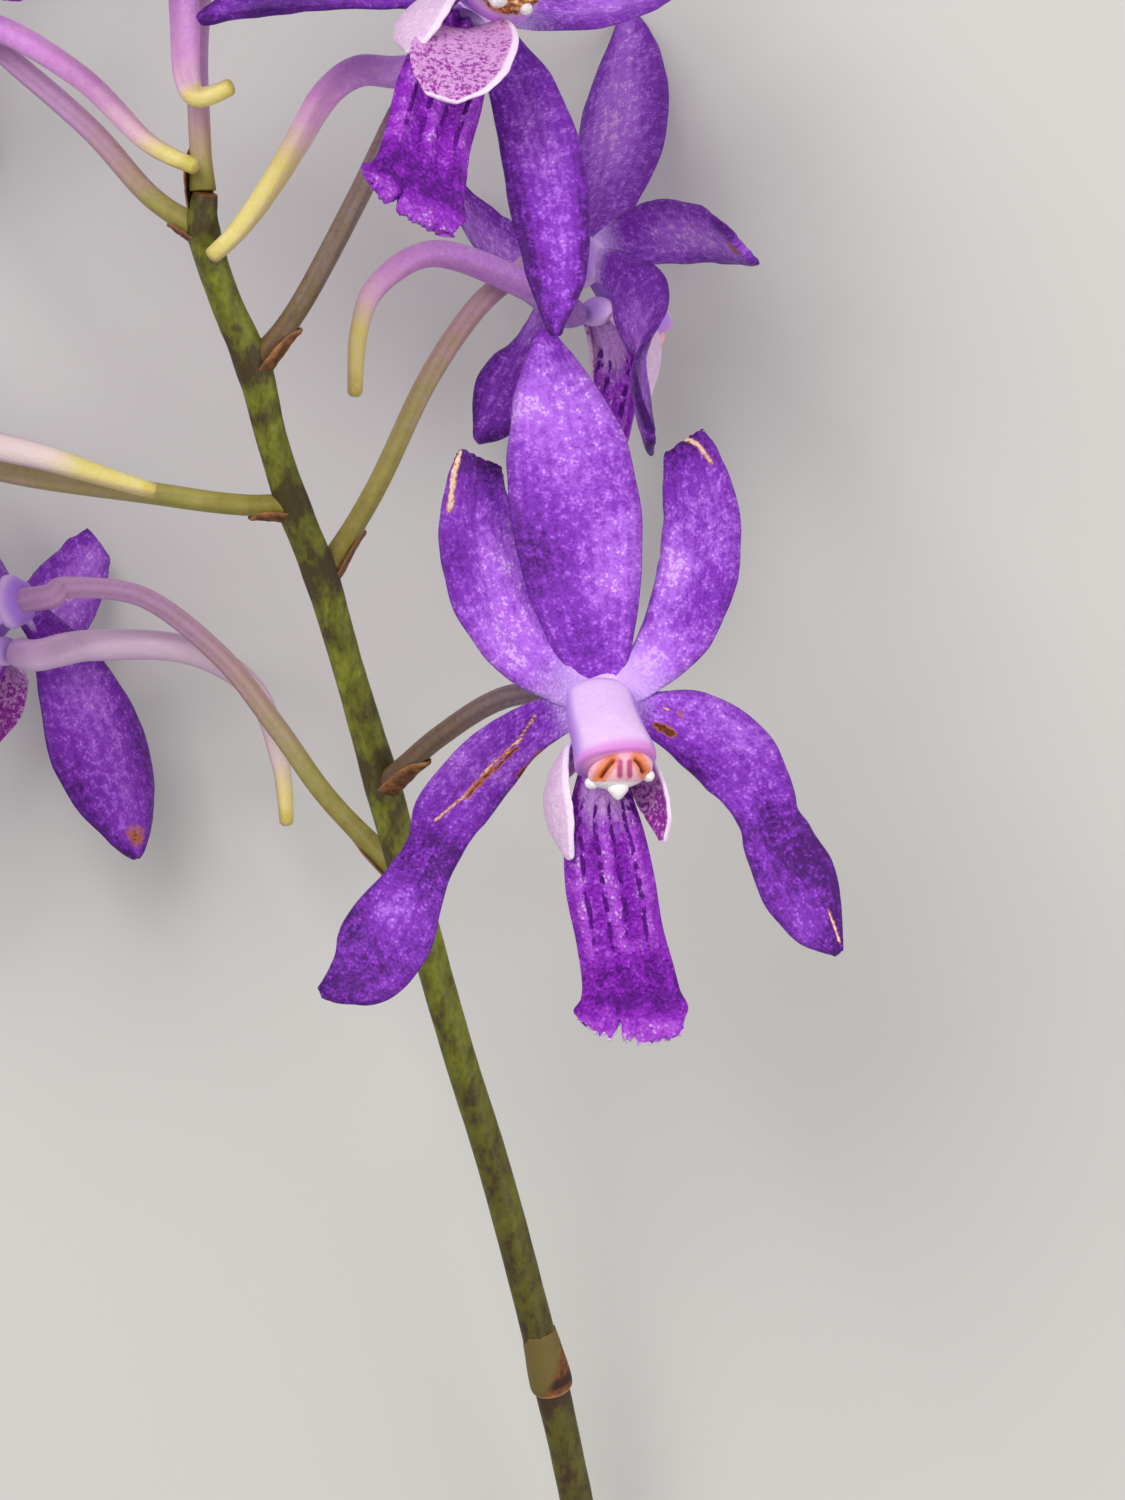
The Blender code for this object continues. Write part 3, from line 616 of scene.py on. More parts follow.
def ring(turn, reach, depth=1.0):
    """Reach across and through a tube at a turn, for a round section or one flattened to a depth."""
    return math.cos(turn) * reach, depth * math.sin(turn) * reach


def with_radii(route, radii):
    """Stations for a tube: the route's places, with radii spread evenly along it."""
    last = len(route) - 1
    spread = [(radius,) for radius in radii]
    return [(*place, along(spread, i / last)[0]) for i, place in enumerate(route)]


def stem_at(place):
    """Point, direction and radius of the stem, place spans up from its cut end."""
    t = place / (len(STEM) - 1)
    x, y, z, radius = along(STEM, t)
    return Vector((x, y, z)), heading(STEM, t), radius


def foot_of(bloom):
    """Where a flower stalk leaves the stem: the point on its middle line and the way out."""
    point, ahead, _ = stem_at(bloom["node"])
    out = Vector(bloom["stalk"][0]) - point
    return point, (out - ahead * out.dot(ahead) * 0.5).normalized()


# Node building for the finishes.


class Wire:
    """A node's output. Sums, differences and products of it add Math nodes to its tree."""

    def __init__(self, socket):
        self.socket = socket
        self.tree = socket.id_data

    def __add__(self, other):
        return calc("ADD", self, other)

    def __radd__(self, other):
        return calc("ADD", other, self)

    def __sub__(self, other):
        return calc("SUBTRACT", self, other)

    def __rsub__(self, other):
        return calc("SUBTRACT", other, self)

    def __mul__(self, other):
        return calc("MULTIPLY", self, other)


def add(tree, kind, inputs=None, **settings):
    """A node with its settings, and with inputs that are values or wires."""
    made = tree.nodes.new(kind)
    for key, value in settings.items():
        setattr(made, key, value)
    for key, value in (inputs or {}).items():
        if isinstance(value, Wire):
            tree.links.new(value.socket, made.inputs[key])
        else:
            made.inputs[key].default_value = value
    return made


def calc(operation, *terms, clamp=False):
    """The result of a Math node. One of its terms at least is a wire."""
    tree = next(term.tree for term in terms if isinstance(term, Wire))
    made = add(tree, "ShaderNodeMath", dict(enumerate(terms)), operation=operation, use_clamp=clamp)
    return Wire(made.outputs[0])


def eased(value, low, high):
    """0 below low and 1 above high, or the other way round where low is the larger."""
    rising = low < high
    inputs = {"Value": value, "From Min": min(low, high), "From Max": max(low, high)}
    inputs.update({"To Min": 0.0 if rising else 1.0, "To Max": 1.0 if rising else 0.0})
    made = add(value.tree, "ShaderNodeMapRange", inputs, interpolation_type="SMOOTHSTEP")
    return Wire(made.outputs["Result"])


def blend(share, first, second):
    """A colour between two others."""
    made = add(share.tree, "ShaderNodeMix", {0: share, 6: first, 7: second}, data_type="RGBA")
    return Wire(made.outputs[2])


def layered(colour, *layers):
    """A colour with layers over it: for each its mask, where that starts and is full, and its colour."""
    for mask, start, full, paint in layers:
        colour = blend(eased(mask, start, full), colour, paint)
    return colour


def ramp(share, *stops):
    """A colour from a ramp. A stop is its place and the 0 to 255 values of its colour."""
    made = add(share.tree, "ShaderNodeValToRGB", {"Fac": share})
    elements = made.color_ramp.elements
    while len(elements) < len(stops):
        elements.new(0.5)
    for element, (place, *colour) in zip(elements, stops):
        element.position = place
        element.color = srgb(*colour)
    return Wire(made.outputs["Color"])


def noise_node(coordinates, scale, detail=3.0, roughness=0.55):
    """Even noise from 0 to 1."""
    inputs = {"Vector": coordinates, "Scale": scale, "Detail": detail, "Roughness": roughness}
    return Wire(add(coordinates.tree, "ShaderNodeTexNoise", inputs).outputs["Fac"])


def stretched(coordinates, *scale):
    """Coordinates scaled along their three axes."""
    made = add(coordinates.tree, "ShaderNodeMapping", {"Vector": coordinates, "Scale": scale})
    return Wire(made.outputs[0])


def off_middle(uv):
    """How far from a blade's middle line, 0 to 1."""
    parts = add(uv.tree, "ShaderNodeSeparateXYZ", {"Vector": uv}).outputs
    return calc("ABSOLUTE", Wire(parts[0]) * 2.0 - 1.0)


def made_once(name):
    """Has a function build its node group or material once, and gives that one from then on."""

    def wrap(build):
        def get(*looks):
            found = bpy.data.materials.get(name) or bpy.data.node_groups.get(name)
            return found or build(name, *looks)

        return get

    return wrap


def new_group(name, inputs, outputs):
    """A new node group with named sockets: its inputs as wires by name, and its output node."""
    tree = bpy.data.node_groups.new(name, "ShaderNodeTree")
    for label, kind, default in inputs:
        socket = tree.interface.new_socket(label, in_out="INPUT", socket_type=f"NodeSocket{kind}")
        if default is not None:
            socket.default_value = default
    for label, kind in outputs:
        tree.interface.new_socket(label, in_out="OUTPUT", socket_type=f"NodeSocket{kind}")
    start, end = tree.nodes.new("NodeGroupInput"), tree.nodes.new("NodeGroupOutput")
    return {label: Wire(start.outputs[label]) for label, _, _ in inputs}, end


def give(node, results):
    """Links wires to a node's inputs by name, and gives the node's tree."""
    tree = node.id_data
    for label, wire in results.items():
        tree.links.new(wire.socket, node.inputs[label])
    return tree


def placed(node_tree, inputs):
    """A node group placed with its own values: its outputs as wires by name."""
    made = add(inputs["Coordinates"].tree, "ShaderNodeGroup", inputs, node_tree=node_tree)
    return {socket.name: Wire(socket) for socket in made.outputs}


@made_once("Cell Grain")
def cell_grain(name):
    """Group: the cells of a petal's skin, as a value for its colour, one for its bumps, and glints that are
    painted highlights on the cells.
    """
    inputs = [("Coordinates", "Vector", None), ("Cells per mm", "Float", 6.0)]
    get, end = new_group(name, inputs, [("Grain", "Float"), ("Height", "Float"), ("Glint", "Float")])
    place, scale = get["Coordinates"], get["Cells per mm"]
    fine = noise_node(place, scale, 3.0, 0.7)
    coarse = noise_node(place, scale * 0.3, 2.0, 0.6)
    cells = add(place.tree, "ShaderNodeTexVoronoi", {"Vector": place, "Scale": scale * 0.8})
    near = eased(Wire(cells.outputs["Distance"]), 0.75, 0.1)
    mixed = fine * 0.6 + coarse * 0.4
    # Glint spots: painted highlights in the colour, and a lower roughness.
    glint = near * eased(coarse, 0.42, 0.64)
    return give(end, {"Grain": eased(mixed, 0.32, 0.68), "Height": near * 0.5 + mixed, "Glint": glint})


def cells_of(coordinates, per_mm):
    """The cells of a skin, placed with their own size."""
    return placed(cell_grain(), {"Coordinates": coordinates, "Cells per mm": per_mm})


@made_once("Petal Tissue")
def petal_tissue(name):
    """Group: violet tissue between a deep and a pale colour, with clouds, cells, and painted highlights where
    the cells glint.
    """
    inputs = [
        ("Coordinates", "Vector", None), ("Lightness", "Float", 0.5), ("Deep", "Color", (0.1, 0.01, 0.2, 1)),
        ("Mid", "Color", (0.2, 0.03, 0.4, 1)), ("Light", "Color", (0.5, 0.2, 0.7, 1)),
        ("Pale", "Color", (0.8, 0.6, 0.9, 1)), ("Cells per mm", "Float", 6.0),
        ("Clouds", "Float", 0.5), ("Grain", "Float", 0.5),
    ]
    get, end = new_group(name, inputs, [("Colour", "Color"), ("Height", "Float"), ("Roughness", "Float")])
    cells = cells_of(get["Coordinates"], get["Cells per mm"])
    clouds = noise_node(get["Coordinates"], 0.6) - 0.5
    light = get["Lightness"] + clouds * get["Clouds"] + (cells["Grain"] - 0.5) * get["Grain"]
    # Painted highlights: the glints lighten the colour.
    light = calc("ADD", light, cells["Glint"] * 0.3, clamp=True)
    colour = layered(
        get["Deep"],
        (light, 0.05, 0.45, get["Mid"]),
        (light, 0.4, 0.8, get["Light"]),
        (light, 0.78, 1.05, get["Pale"]),
    )
    rough = 0.52 - cells["Glint"] * 0.2
    return give(end, {"Colour": colour, "Height": cells["Height"], "Roughness": rough})


@made_once("Dry Marks")
def dry_marks(name):
    """Group: dry cream edges and rusty spots laid over a colour, with broken outlines."""
    inputs = [
        ("Coordinates", "Vector", None), ("Under", "Color", (0.2, 0.03, 0.4, 1)),
        ("Cream", "Float", 0.0), ("Rust", "Float", 0.0),
    ]
    get, end = new_group(name, inputs, [("Colour", "Color")])
    ragged = (noise_node(get["Coordinates"], 4.5, 3.0, 0.7) - 0.5) * 2.6
    rust = get["Rust"] + ragged * get["Rust"]
    cream = get["Cream"] + ragged * get["Cream"]
    colour = layered(
        get["Under"],
        (rust, 0.2, 0.6, srgb(190, 106, 48)),
        (rust, 0.6, 0.85, srgb(104, 48, 16)),
        (cream, 0.25, 0.55, srgb(190, 118, 92)),
        (cream, 0.55, 0.9, srgb(240, 208, 180)),
    )
    return give(end, {"Colour": colour})


def new_material(name, roughness, sheen=0.0, coat=0.0):
    """A material, its millimetre coordinates, the piece's four marks and its UV map."""
    made = bpy.data.materials.new(name)
    made.use_nodes = True
    tree = made.node_tree
    shader = tree.nodes["Principled BSDF"]
    shader.inputs["Roughness"].default_value = roughness
    shader.inputs["Sheen Weight"].default_value = sheen
    shader.inputs["Coat Weight"].default_value = coat
    shader.inputs["Coat Roughness"].default_value = COAT_ROUGHNESS
    shader.inputs["IOR"].default_value = TISSUE_IOR
    place = Wire(add(tree, "ShaderNodeTexCoord").outputs["Object"])
    coordinates = stretched(place, 1 / MM, 1 / MM, 1 / MM)
    marks = add(tree, "ShaderNodeAttribute", attribute_name="marks").outputs
    parts = add(tree, "ShaderNodeSeparateColor", {"Color": Wire(marks["Color"])}).outputs
    values = [Wire(socket) for socket in (parts[0], parts[1], parts[2], marks["Alpha"])]
    uv = add(tree, "ShaderNodeUVMap", uv_map="UVMap").outputs["UV"]
    return made, coordinates, values, Wire(uv)


def dress(made, colour, height, strength, distance, roughness=None):
    """Feeds a material's shader its colour, its bumps, distance millimetres high, and its roughness."""
    tree = made.node_tree
    inputs = {"Height": height, "Strength": strength, "Distance": distance * MM}
    results = {"Base Color": colour, "Normal": Wire(add(tree, "ShaderNodeBump", inputs).outputs["Normal"])}
    if roughness:
        results["Roughness"] = roughness
    give(tree.nodes["Principled BSDF"], results)
    return made


@made_once("tepal_tissue")
def tepal_material(name, looks):
    """Sepals and petals. Marks: lightness, pale base, cream, rust."""
    made, coordinates, marks, uv = new_material(name, 0.52, sheen=0.03)
    inputs = {"Vector": uv, "Scale": 3.4, "Distortion": 1.6, "Detail": 2.0}
    veins = Wire(add(uv.tree, "ShaderNodeTexWave", inputs, bands_direction="X").outputs["Fac"])
    tissue = placed(petal_tissue(), {
        "Coordinates": coordinates, "Lightness": marks[0] + (veins - 0.5) * 0.07, "Deep": looks.deep,
        "Mid": looks.violet, "Light": looks.lilac, "Pale": looks.pale, "Cells per mm": looks.cells,
        "Clouds": 0.22, "Grain": 0.28,
    })
    # Darker towards the margins: partly the tissue's own darker rim, partly painted shade where the blade
    # curves away.
    colour = blend(eased(off_middle(uv), 0.55, 1.0) * 0.42, tissue["Colour"], looks.deep)
    speckled = marks[1] + (tissue["Height"] - 0.7) * 0.25
    colour = layered(colour, (speckled, 0.1, 0.95, looks.base))
    inputs = {"Coordinates": coordinates, "Under": colour, "Cream": marks[2], "Rust": marks[3]}
    colour = placed(dry_marks(), inputs)["Colour"]
    return dress(made, colour, tissue["Height"], 0.6, 0.14, tissue["Roughness"])


@made_once("lip_tissue")
def lip_material(name, looks):
    """Mid-lobe of the lip. Marks: lightness with painted shade in the cleft, pale throat, white fringe, dark
    dashes with painted shade down one side.
    """
    made, coordinates, marks, uv = new_material(name, 0.48, sheen=0.02)
    tissue = placed(petal_tissue(), {
        "Coordinates": coordinates, "Lightness": marks[0], "Deep": looks.lip_deep, "Mid": looks.lip_violet,
        "Light": looks.lip_light, "Pale": looks.pale, "Cells per mm": looks.cells * 0.8, "Clouds": 0.22,
        "Grain": 0.4,
    })
    broken = noise_node(stretched(uv, 9.0, 26.0, 1.0), 1.0, 2.0, 0.6) - 0.5
    colour = layered(
        tissue["Colour"],
        (marks[1] + broken * 0.9, 0.3, 1.0, srgb(206, 152, 222)),
        (marks[3] * eased(broken, -0.12, 0.06), 0.25, 0.7, looks.lip_deep),
        (marks[2] + noise_node(coordinates, 5.0) * 0.4, 0.75, 1.15, srgb(238, 216, 244)),
    )
    return dress(made, colour, tissue["Height"], 0.9, 0.25, tissue["Roughness"])


@made_once("lobe_tissue")
def lobe_material(name):
    """Side lobes of the lip. Marks: inner face, white rim, and how far down the lobe."""
    made, coordinates, marks, _ = new_material(name, 0.45, sheen=0.08)
    specks = eased(noise_node(coordinates, 3.4, 3.0, 0.75) + marks[2] * 0.16, 0.5, 0.64)
    cells = cells_of(coordinates, 7.0)
    inner = blend(specks, srgb(216, 156, 214), srgb(146, 36, 150))
    outer = blend(cells["Grain"], srgb(214, 172, 210), srgb(234, 206, 230))
    colour = layered(blend(marks[0], outer, inner), (marks[1], 0.3, 0.8, srgb(246, 222, 242)))
    return dress(made, colour, cells["Height"], 0.4, 0.1)


@made_once("column_tissue")
def column_material(name, looks):
    """Column and cushions. Marks: pink, lilac side, cream, and how violet its root is."""
    made, coordinates, marks, _ = new_material(name, 0.42, sheen=0.05)
    cells = cells_of(coordinates, 5.0)
    colour = layered(
        blend(cells["Grain"] * 0.45, looks.column, srgb(246, 216, 250)),
        (marks[1], 0.1, 1.0, srgb(176, 124, 224)),
        (marks[0], 0.1, 1.0, srgb(218, 132, 212)),
        (marks[2], 0.2, 1.0, srgb(250, 222, 226)),
        (marks[3], 0.2, 1.0, looks.base),
    )
    return dress(made, colour, cells["Height"], 0.25, 0.08)


@made_once("cap_tissue")
def anther_material(name):
    """Anther cap. Marks: slit, magenta ridge, white, orange glow."""
    made, coordinates, marks, _ = new_material(name, 0.36, coat=0.2)
    cells = cells_of(coordinates, 5.0)
    colour = layered(
        blend(cells["Grain"], srgb(240, 170, 190), srgb(248, 200, 206)),
        (marks[3], 0.2, 1.0, srgb(226, 128, 84)),
        (marks[1], 0.2, 0.9, srgb(184, 78, 122)),
        (marks[2], 0.2, 0.8, srgb(244, 236, 236)),
        (marks[0], 0.2, 0.55, srgb(206, 96, 40)),
        (marks[0], 0.55, 0.95, srgb(104, 34, 12)),
    )
    return dress(made, colour, cells["Height"], 0.3, 0.1)


@made_once("withered_cap")
def withered_material(name):
    """The shrivelled anther cap of the bloom at the top. Marks: white drop in the third value."""
    made, coordinates, marks, _ = new_material(name, 0.35, coat=0.3)
    clots = noise_node(coordinates, 2.4, 4.0, 0.7)
    colour = ramp(clots, (0.3, 92, 40, 14), (0.45, 160, 84, 36), (0.56, 214, 140, 74), (0.68, 248, 214, 160))
    colour = layered(colour, (marks[2], 0.2, 0.8, srgb(240, 232, 232)))
    return dress(made, colour, clots, 0.8, 0.4)


@made_once("spur_tissue")
def spur_material(name):
    """Spurs. Marks: how far along towards the yellow, how violet, lines, how yellow."""
    made, coordinates, marks, _ = new_material(name, 0.4, sheen=0.05)
    cloud = noise_node(coordinates, 0.7) - 0.5
    on = marks[0] + cloud * 0.2
    violet = ramp(
        on, (0.0, 132, 70, 176), (0.35, 160, 88, 196), (0.65, 194, 112, 208), (0.85, 220, 142, 208),
        (1.0, 228, 182, 196),
    )
    cream = ramp(on, (0.0, 206, 160, 206), (0.4, 234, 204, 222), (1.0, 230, 206, 196))
    cells = cells_of(coordinates, 5.0)
    yellow = marks[3] + cloud * 0.35
    colour = layered(
        cream,
        (marks[1], 0.0, 1.0, violet),
        (yellow, 0.1, 0.75, srgb(222, 204, 104)),
        (yellow, 0.8, 1.1, srgb(196, 178, 52)),
    )
    colour = blend(cells["Grain"] * 0.2, colour, srgb(250, 230, 238))
    colour = blend(eased(marks[2], 0.55, 1.0) * 0.3, colour, srgb(140, 84, 130))
    return dress(made, colour, cells["Height"], 0.3, 0.1)


@made_once("stalk_skin")
def stalk_material(name):
    """Flower stalks. Marks: how far along, how mauve, and the grooves between the ribs, which get painted
    shade.
    """
    made, coordinates, marks, _ = new_material(name, 0.48)
    cloud = noise_node(coordinates, 0.9, 4.0, 0.6)
    on = marks[0] + (cloud - 0.5) * 0.4
    mauve = ramp(on, (0.0, 108, 80, 44), (0.18, 120, 98, 74), (0.45, 134, 112, 116), (0.9, 164, 124, 158))
    green = ramp(on, (0.0, 128, 116, 40), (0.3, 164, 154, 78), (0.55, 190, 156, 142), (0.9, 204, 156, 196))
    flecks = eased(noise_node(coordinates, 3.2, 3.0, 0.7), 0.48, 0.66)
    colour = blend(marks[1], green, mauve)
    colour = blend(flecks * (0.1 + marks[1] * 0.3), colour, srgb(84, 58, 62))
    # Darker in the grooves between the ribs: painted shade.
    colour = blend(marks[2] * (0.12 + marks[1] * 0.3), colour, srgb(84, 60, 70))
    return dress(made, colour, cloud, 0.3, 0.2)


@made_once("stem_skin")
def stem_material(name, looks):
    """Stem. Marks: dark node, browner lower length, cut face, dried tip."""
    made, coordinates, marks, _ = new_material(name, 0.42)
    drawn = stretched(coordinates, 1.0, 0.5, 0.8)
    cloud = noise_node(drawn, 0.9, 4.0, 0.6)
    spots = noise_node(drawn, 2.4, 3.0, 0.6)
    green = ramp(spots, (0.3, 92, 94, 28), (0.48, 116, 120, 34), (0.62, 134, 138, 44), (0.74, 150, 148, 66))
    green = blend(marks[1] * 0.8, green, srgb(88, 78, 32))
    dark = cloud + marks[0] * 0.24 + (spots - 0.5) * 0.5
    colour = blend(eased(dark, 0.4, 0.7) * 0.88, green, looks.mottle)
    colour = blend(marks[2], colour, srgb(188, 190, 120))
    colour = blend(marks[3], colour, srgb(112, 70, 36))
    return dress(made, colour, spots, 0.4, 0.2)


@made_once("papery_husk")
def husk_material(name):
    """Papery scales: bracts and the sheath. Marks: green base, dark ring, light rim."""
    made, coordinates, marks, uv = new_material(name, 0.6)
    fibres = noise_node(stretched(uv, 22, 3, 1), 1.0)
    cloud = noise_node(coordinates, 1.6, 4.0, 0.65)
    colour = ramp(cloud, (0.34, 70, 42, 26), (0.5, 116, 72, 38), (0.64, 164, 104, 52))
    colour = blend(eased(fibres, 0.5, 0.7) * 0.4, colour, srgb(84, 50, 34))
    for share, paint in zip(marks, (srgb(112, 96, 50), srgb(58, 34, 26), srgb(214, 160, 110))):
        colour = blend(share, colour, paint)
    return dress(made, colour, fibres, 0.6, 0.15)


# Settings that a user would change.


class TepalLooks(bpy.types.PropertyGroup):
    wall: FloatProperty(name="Thickness", description="Thickness of a tepal, in millimetres", default=0.6)
    cup: FloatProperty(name="Cup", description="How far forward the margins stand, per width", default=0.08)
    ruffle: FloatProperty(name="Ruffle", description="How far the margins wave, in millimetres", default=0.16)
    groove: FloatProperty(name="Groove", description="Depth of the groove along the middle", default=0.12)
    cells: FloatProperty(name="Cells", description="Cells of the skin per millimetre", default=5.4)
    deep: FloatVectorProperty(
        name="Deep", description="Darkest violet", subtype="COLOR", size=4, default=srgb(74, 12, 108))
    violet: FloatVectorProperty(
        name="Violet", description="Main violet", subtype="COLOR", size=4, default=srgb(132, 48, 184))
    lilac: FloatVectorProperty(
        name="Lilac", description="Lighter patches", subtype="COLOR", size=4, default=srgb(182, 106, 228))
    pale: FloatVectorProperty(
        name="Pale", description="Lightest glints", subtype="COLOR", size=4, default=srgb(222, 172, 244))
    base: FloatVectorProperty(
        name="Base", description="Pale lilac base", subtype="COLOR", size=4, default=srgb(216, 176, 242))
    lip_deep: FloatVectorProperty(
        name="Lip grooves", description="Dark lip lines", subtype="COLOR", size=4, default=srgb(94, 6, 132))
    lip_violet: FloatVectorProperty(
        name="Lip", description="Main colour of the lip", subtype="COLOR", size=4, default=srgb(144, 34, 188))
    lip_light: FloatVectorProperty(
        name="Lip light", description="Light lip ridges", subtype="COLOR", size=4, default=srgb(182, 84, 218))
    column: FloatVectorProperty(
        name="Column", description="Column", subtype="COLOR", size=4, default=srgb(230, 190, 240))
    mottle: FloatVectorProperty(
        name="Mottling", description="Dark stem mottling", subtype="COLOR", size=4, default=srgb(62, 44, 34))


class LipShape(bpy.types.PropertyGroup):
    wall: FloatProperty(name="Thickness", description="Thickness of the lip", default=0.7)
    keel: FloatProperty(name="Keels", description="Height of the lip's keels", default=0.24)
    keels: IntProperty(name="Count", description="How many keels run along the lip", default=3)
    notch: FloatProperty(name="Notch", description="Depth of the cleft in the end", default=1.1)
    fringe: FloatProperty(name="Fringe", description="How ragged the end is", default=0.42)


class StageLooks(bpy.types.PropertyGroup):
    floor: FloatVectorProperty(
        name="Floor", description="Plain pale surface", subtype="COLOR", size=4, default=srgb(206, 203, 196))
    key: FloatProperty(name="Key light", description="Power of the large soft light", default=1.65)
    fill: FloatProperty(name="Fill", description="Strength of the light all round", default=0.46)
    camera_height: FloatProperty(
        name="Camera", description="Height of the camera", default=0.262, unit="LENGTH")


def looks_of(context):
    """The tissue settings, which most finishes read."""
    return context.scene.orchid_tepals


# Pieces.


def mark_tepal(bloom, name):
    """The finish's values over one tepal: lightness, which holds painted highlights and painted shade as well
    as the tissue's tone, pale base, cream and rust.
    """
    hero = bloom == "flower_1"
    painted_light_and_tone = PAINTED_LIGHT_AND_TONE_PATCHES[name] if hero else []
    scars = SCARS.get(name, []) if hero else []
    spot = TIP_SPOTS.get((bloom, name))
    seed = 3.7 * list(BLOOMS).index(bloom) + len(name)
    resting = 0.5 if bloom in NEAR else 0.46
    pale_to = {"top_sepal": 0.1, "left_petal": 0.36, "right_petal": 0.36}.get(name, 0.16)

    def marks(t, v, side, point):
        light = resting + 0.16 * wavy(seed, t * 3, v * 1.2)
        # Blooms without listed patches get a lighter middle and darker margins: painted shade where the blade
        # curves away.
        if not painted_light_and_tone:
            light += 0.3 * smooth(0.9, 0.2, abs(v)) * smooth(0.15, 0.5, t) - 0.12
        light -= 0.22 * smooth(0.8, 1.0, t)
        if "sepal" in name and name != "top_sepal":
            light -= 0.24 * smooth(0.35, 0.6, t)
        flat = Vector(point[:2])
        # The open bloom's patches: painted highlight and painted shade, with some of the tissue's own tone.
        for x, y, radius, more in painted_light_and_tone:
            light += more * math.exp(-((flat - Vector((x, y))).length / radius) ** 2)
        cream = rust = 0.0
        if side > 0:
            for kind, width, line in scars:
                wander = 0.5 + 0.9 * abs(wavy(point[0] * 1.9, point[1] * 1.9, 3.1))
                mark = smooth(width * 2.2 * wander, width * 0.2, off_line(flat, line))
                if kind == "cream":
                    cream = max(cream, mark)
                else:
                    rust = max(rust, mark)
        if spot:
            rust = max(rust, 0.7 * smooth(spot[2] / 9, 0.0, math.hypot(t - spot[0], (v - spot[1]) * 0.12)))
        if side < 0:
            light += 0.1
        return light, smooth(pale_to, pale_to * 0.15, t), cream, rust

    return marks


def tepal_relief(name, bloom, looks):
    """How far the skin of one tepal moves: its ruffled margins, its groove and its crinkled tip."""
    seed = 11.3 * list(BLOOMS).index(bloom) + 2.1 * len(name)
    crinkled = 0.3 if "petal" in name and bloom == "flower_1" else 0.08

    def relief(t, v):
        edge = abs(v) ** 3
        lift = looks.ruffle * wavy(seed, t * 8, math.copysign(2, v)) * edge
        lift -= looks.groove * math.exp(-(v / 0.2) ** 2) * math.sin(math.pi * min(1.0, t * 1.1))
        lift += 0.05 * wavy(seed + 5, t * 26, v * 5)
        lift += crinkled * smooth(0.86, 1.0, t) * wavy(seed + 9, t * 60, v * 4)
        out = 0.1 * wavy(seed + 3, t * 13, math.copysign(1, v)) * edge
        out += crinkled * 0.6 * smooth(0.88, 0.97, t) * wavy(seed + 6, t * 70, math.copysign(1, v)) * edge
        return out, lift, crinkled * 0.5 * smooth(0.93, 1.0, t) * wavy(seed + 4, v * 6, 0.5)

    return relief


class ORCHID_OT_tepals(bpy.types.Operator):
    """Adds the three sepals and two petals of every bloom"""

    bl_idname = "orchid.tepals"
    bl_label = "Sepals and petals"

    def execute(self, context):
        looks = looks_of(context)
        for bloom, facts in BLOOMS.items():
            rows, columns = (110, 34) if bloom in NEAR else (60, 20)
            left, right = facts.get("laterals", (BROAD_LATERAL, TAPERED_LATERAL))
            forms = {"left_sepal": left, "right_sepal": right}
            for (name, form, mirrored), (turn, lean, size, roll, bow) in zip(TEPALS, facts["tepals"]):
                form = forms.get(name, form)
                if mirrored:
                    form = [(-x, y, z, right, left, -own) for x, y, z, left, right, own in form]
                form = [(x * size * bow, y * size, z, left, right, own + roll)
                        for x, y, z, left, right, own in form]
                aim = turned(turn, lean)
                marks = mark_tepal(bloom, name)
                bm = blade(
                    form, OUTWARD, rows, columns, looks.wall, looks.cup, tepal_relief(name, bloom, looks),
                    lambda t, v, side, point: marks(t, v, side, aim @ point),
                    axes_of(facts) @ aim,
                )
                finish(f"{bloom}_{name}", bm, tepal_material(looks), f"{bloom}_tepals")
        return {"FINISHED"}


class ORCHID_OT_cushions(bpy.types.Operator):
    """Adds the cushion behind each column, from which the tepals grow"""

    bl_idname = "orchid.cushions"
    bl_label = "Cushions"

    def execute(self, context):
        for bloom, facts in BLOOMS.items():
            bm = new_mesh()

            def shape(way):
                reach = 1 + 0.06 * math.cos(5 * math.atan2(way.y, way.x)) * (1 - way.z ** 2)
                return reach, (0.1, smooth(0.2, -0.9, way.z), 0.0, 0.0)

            lump(bm, Vector(BASE_RADII) * 0.97, axes_of(facts), shape)
            finish(f"{bloom}_cushion", bm, column_material(looks_of(context)), f"{bloom}_tepals")
        return {"FINISHED"}


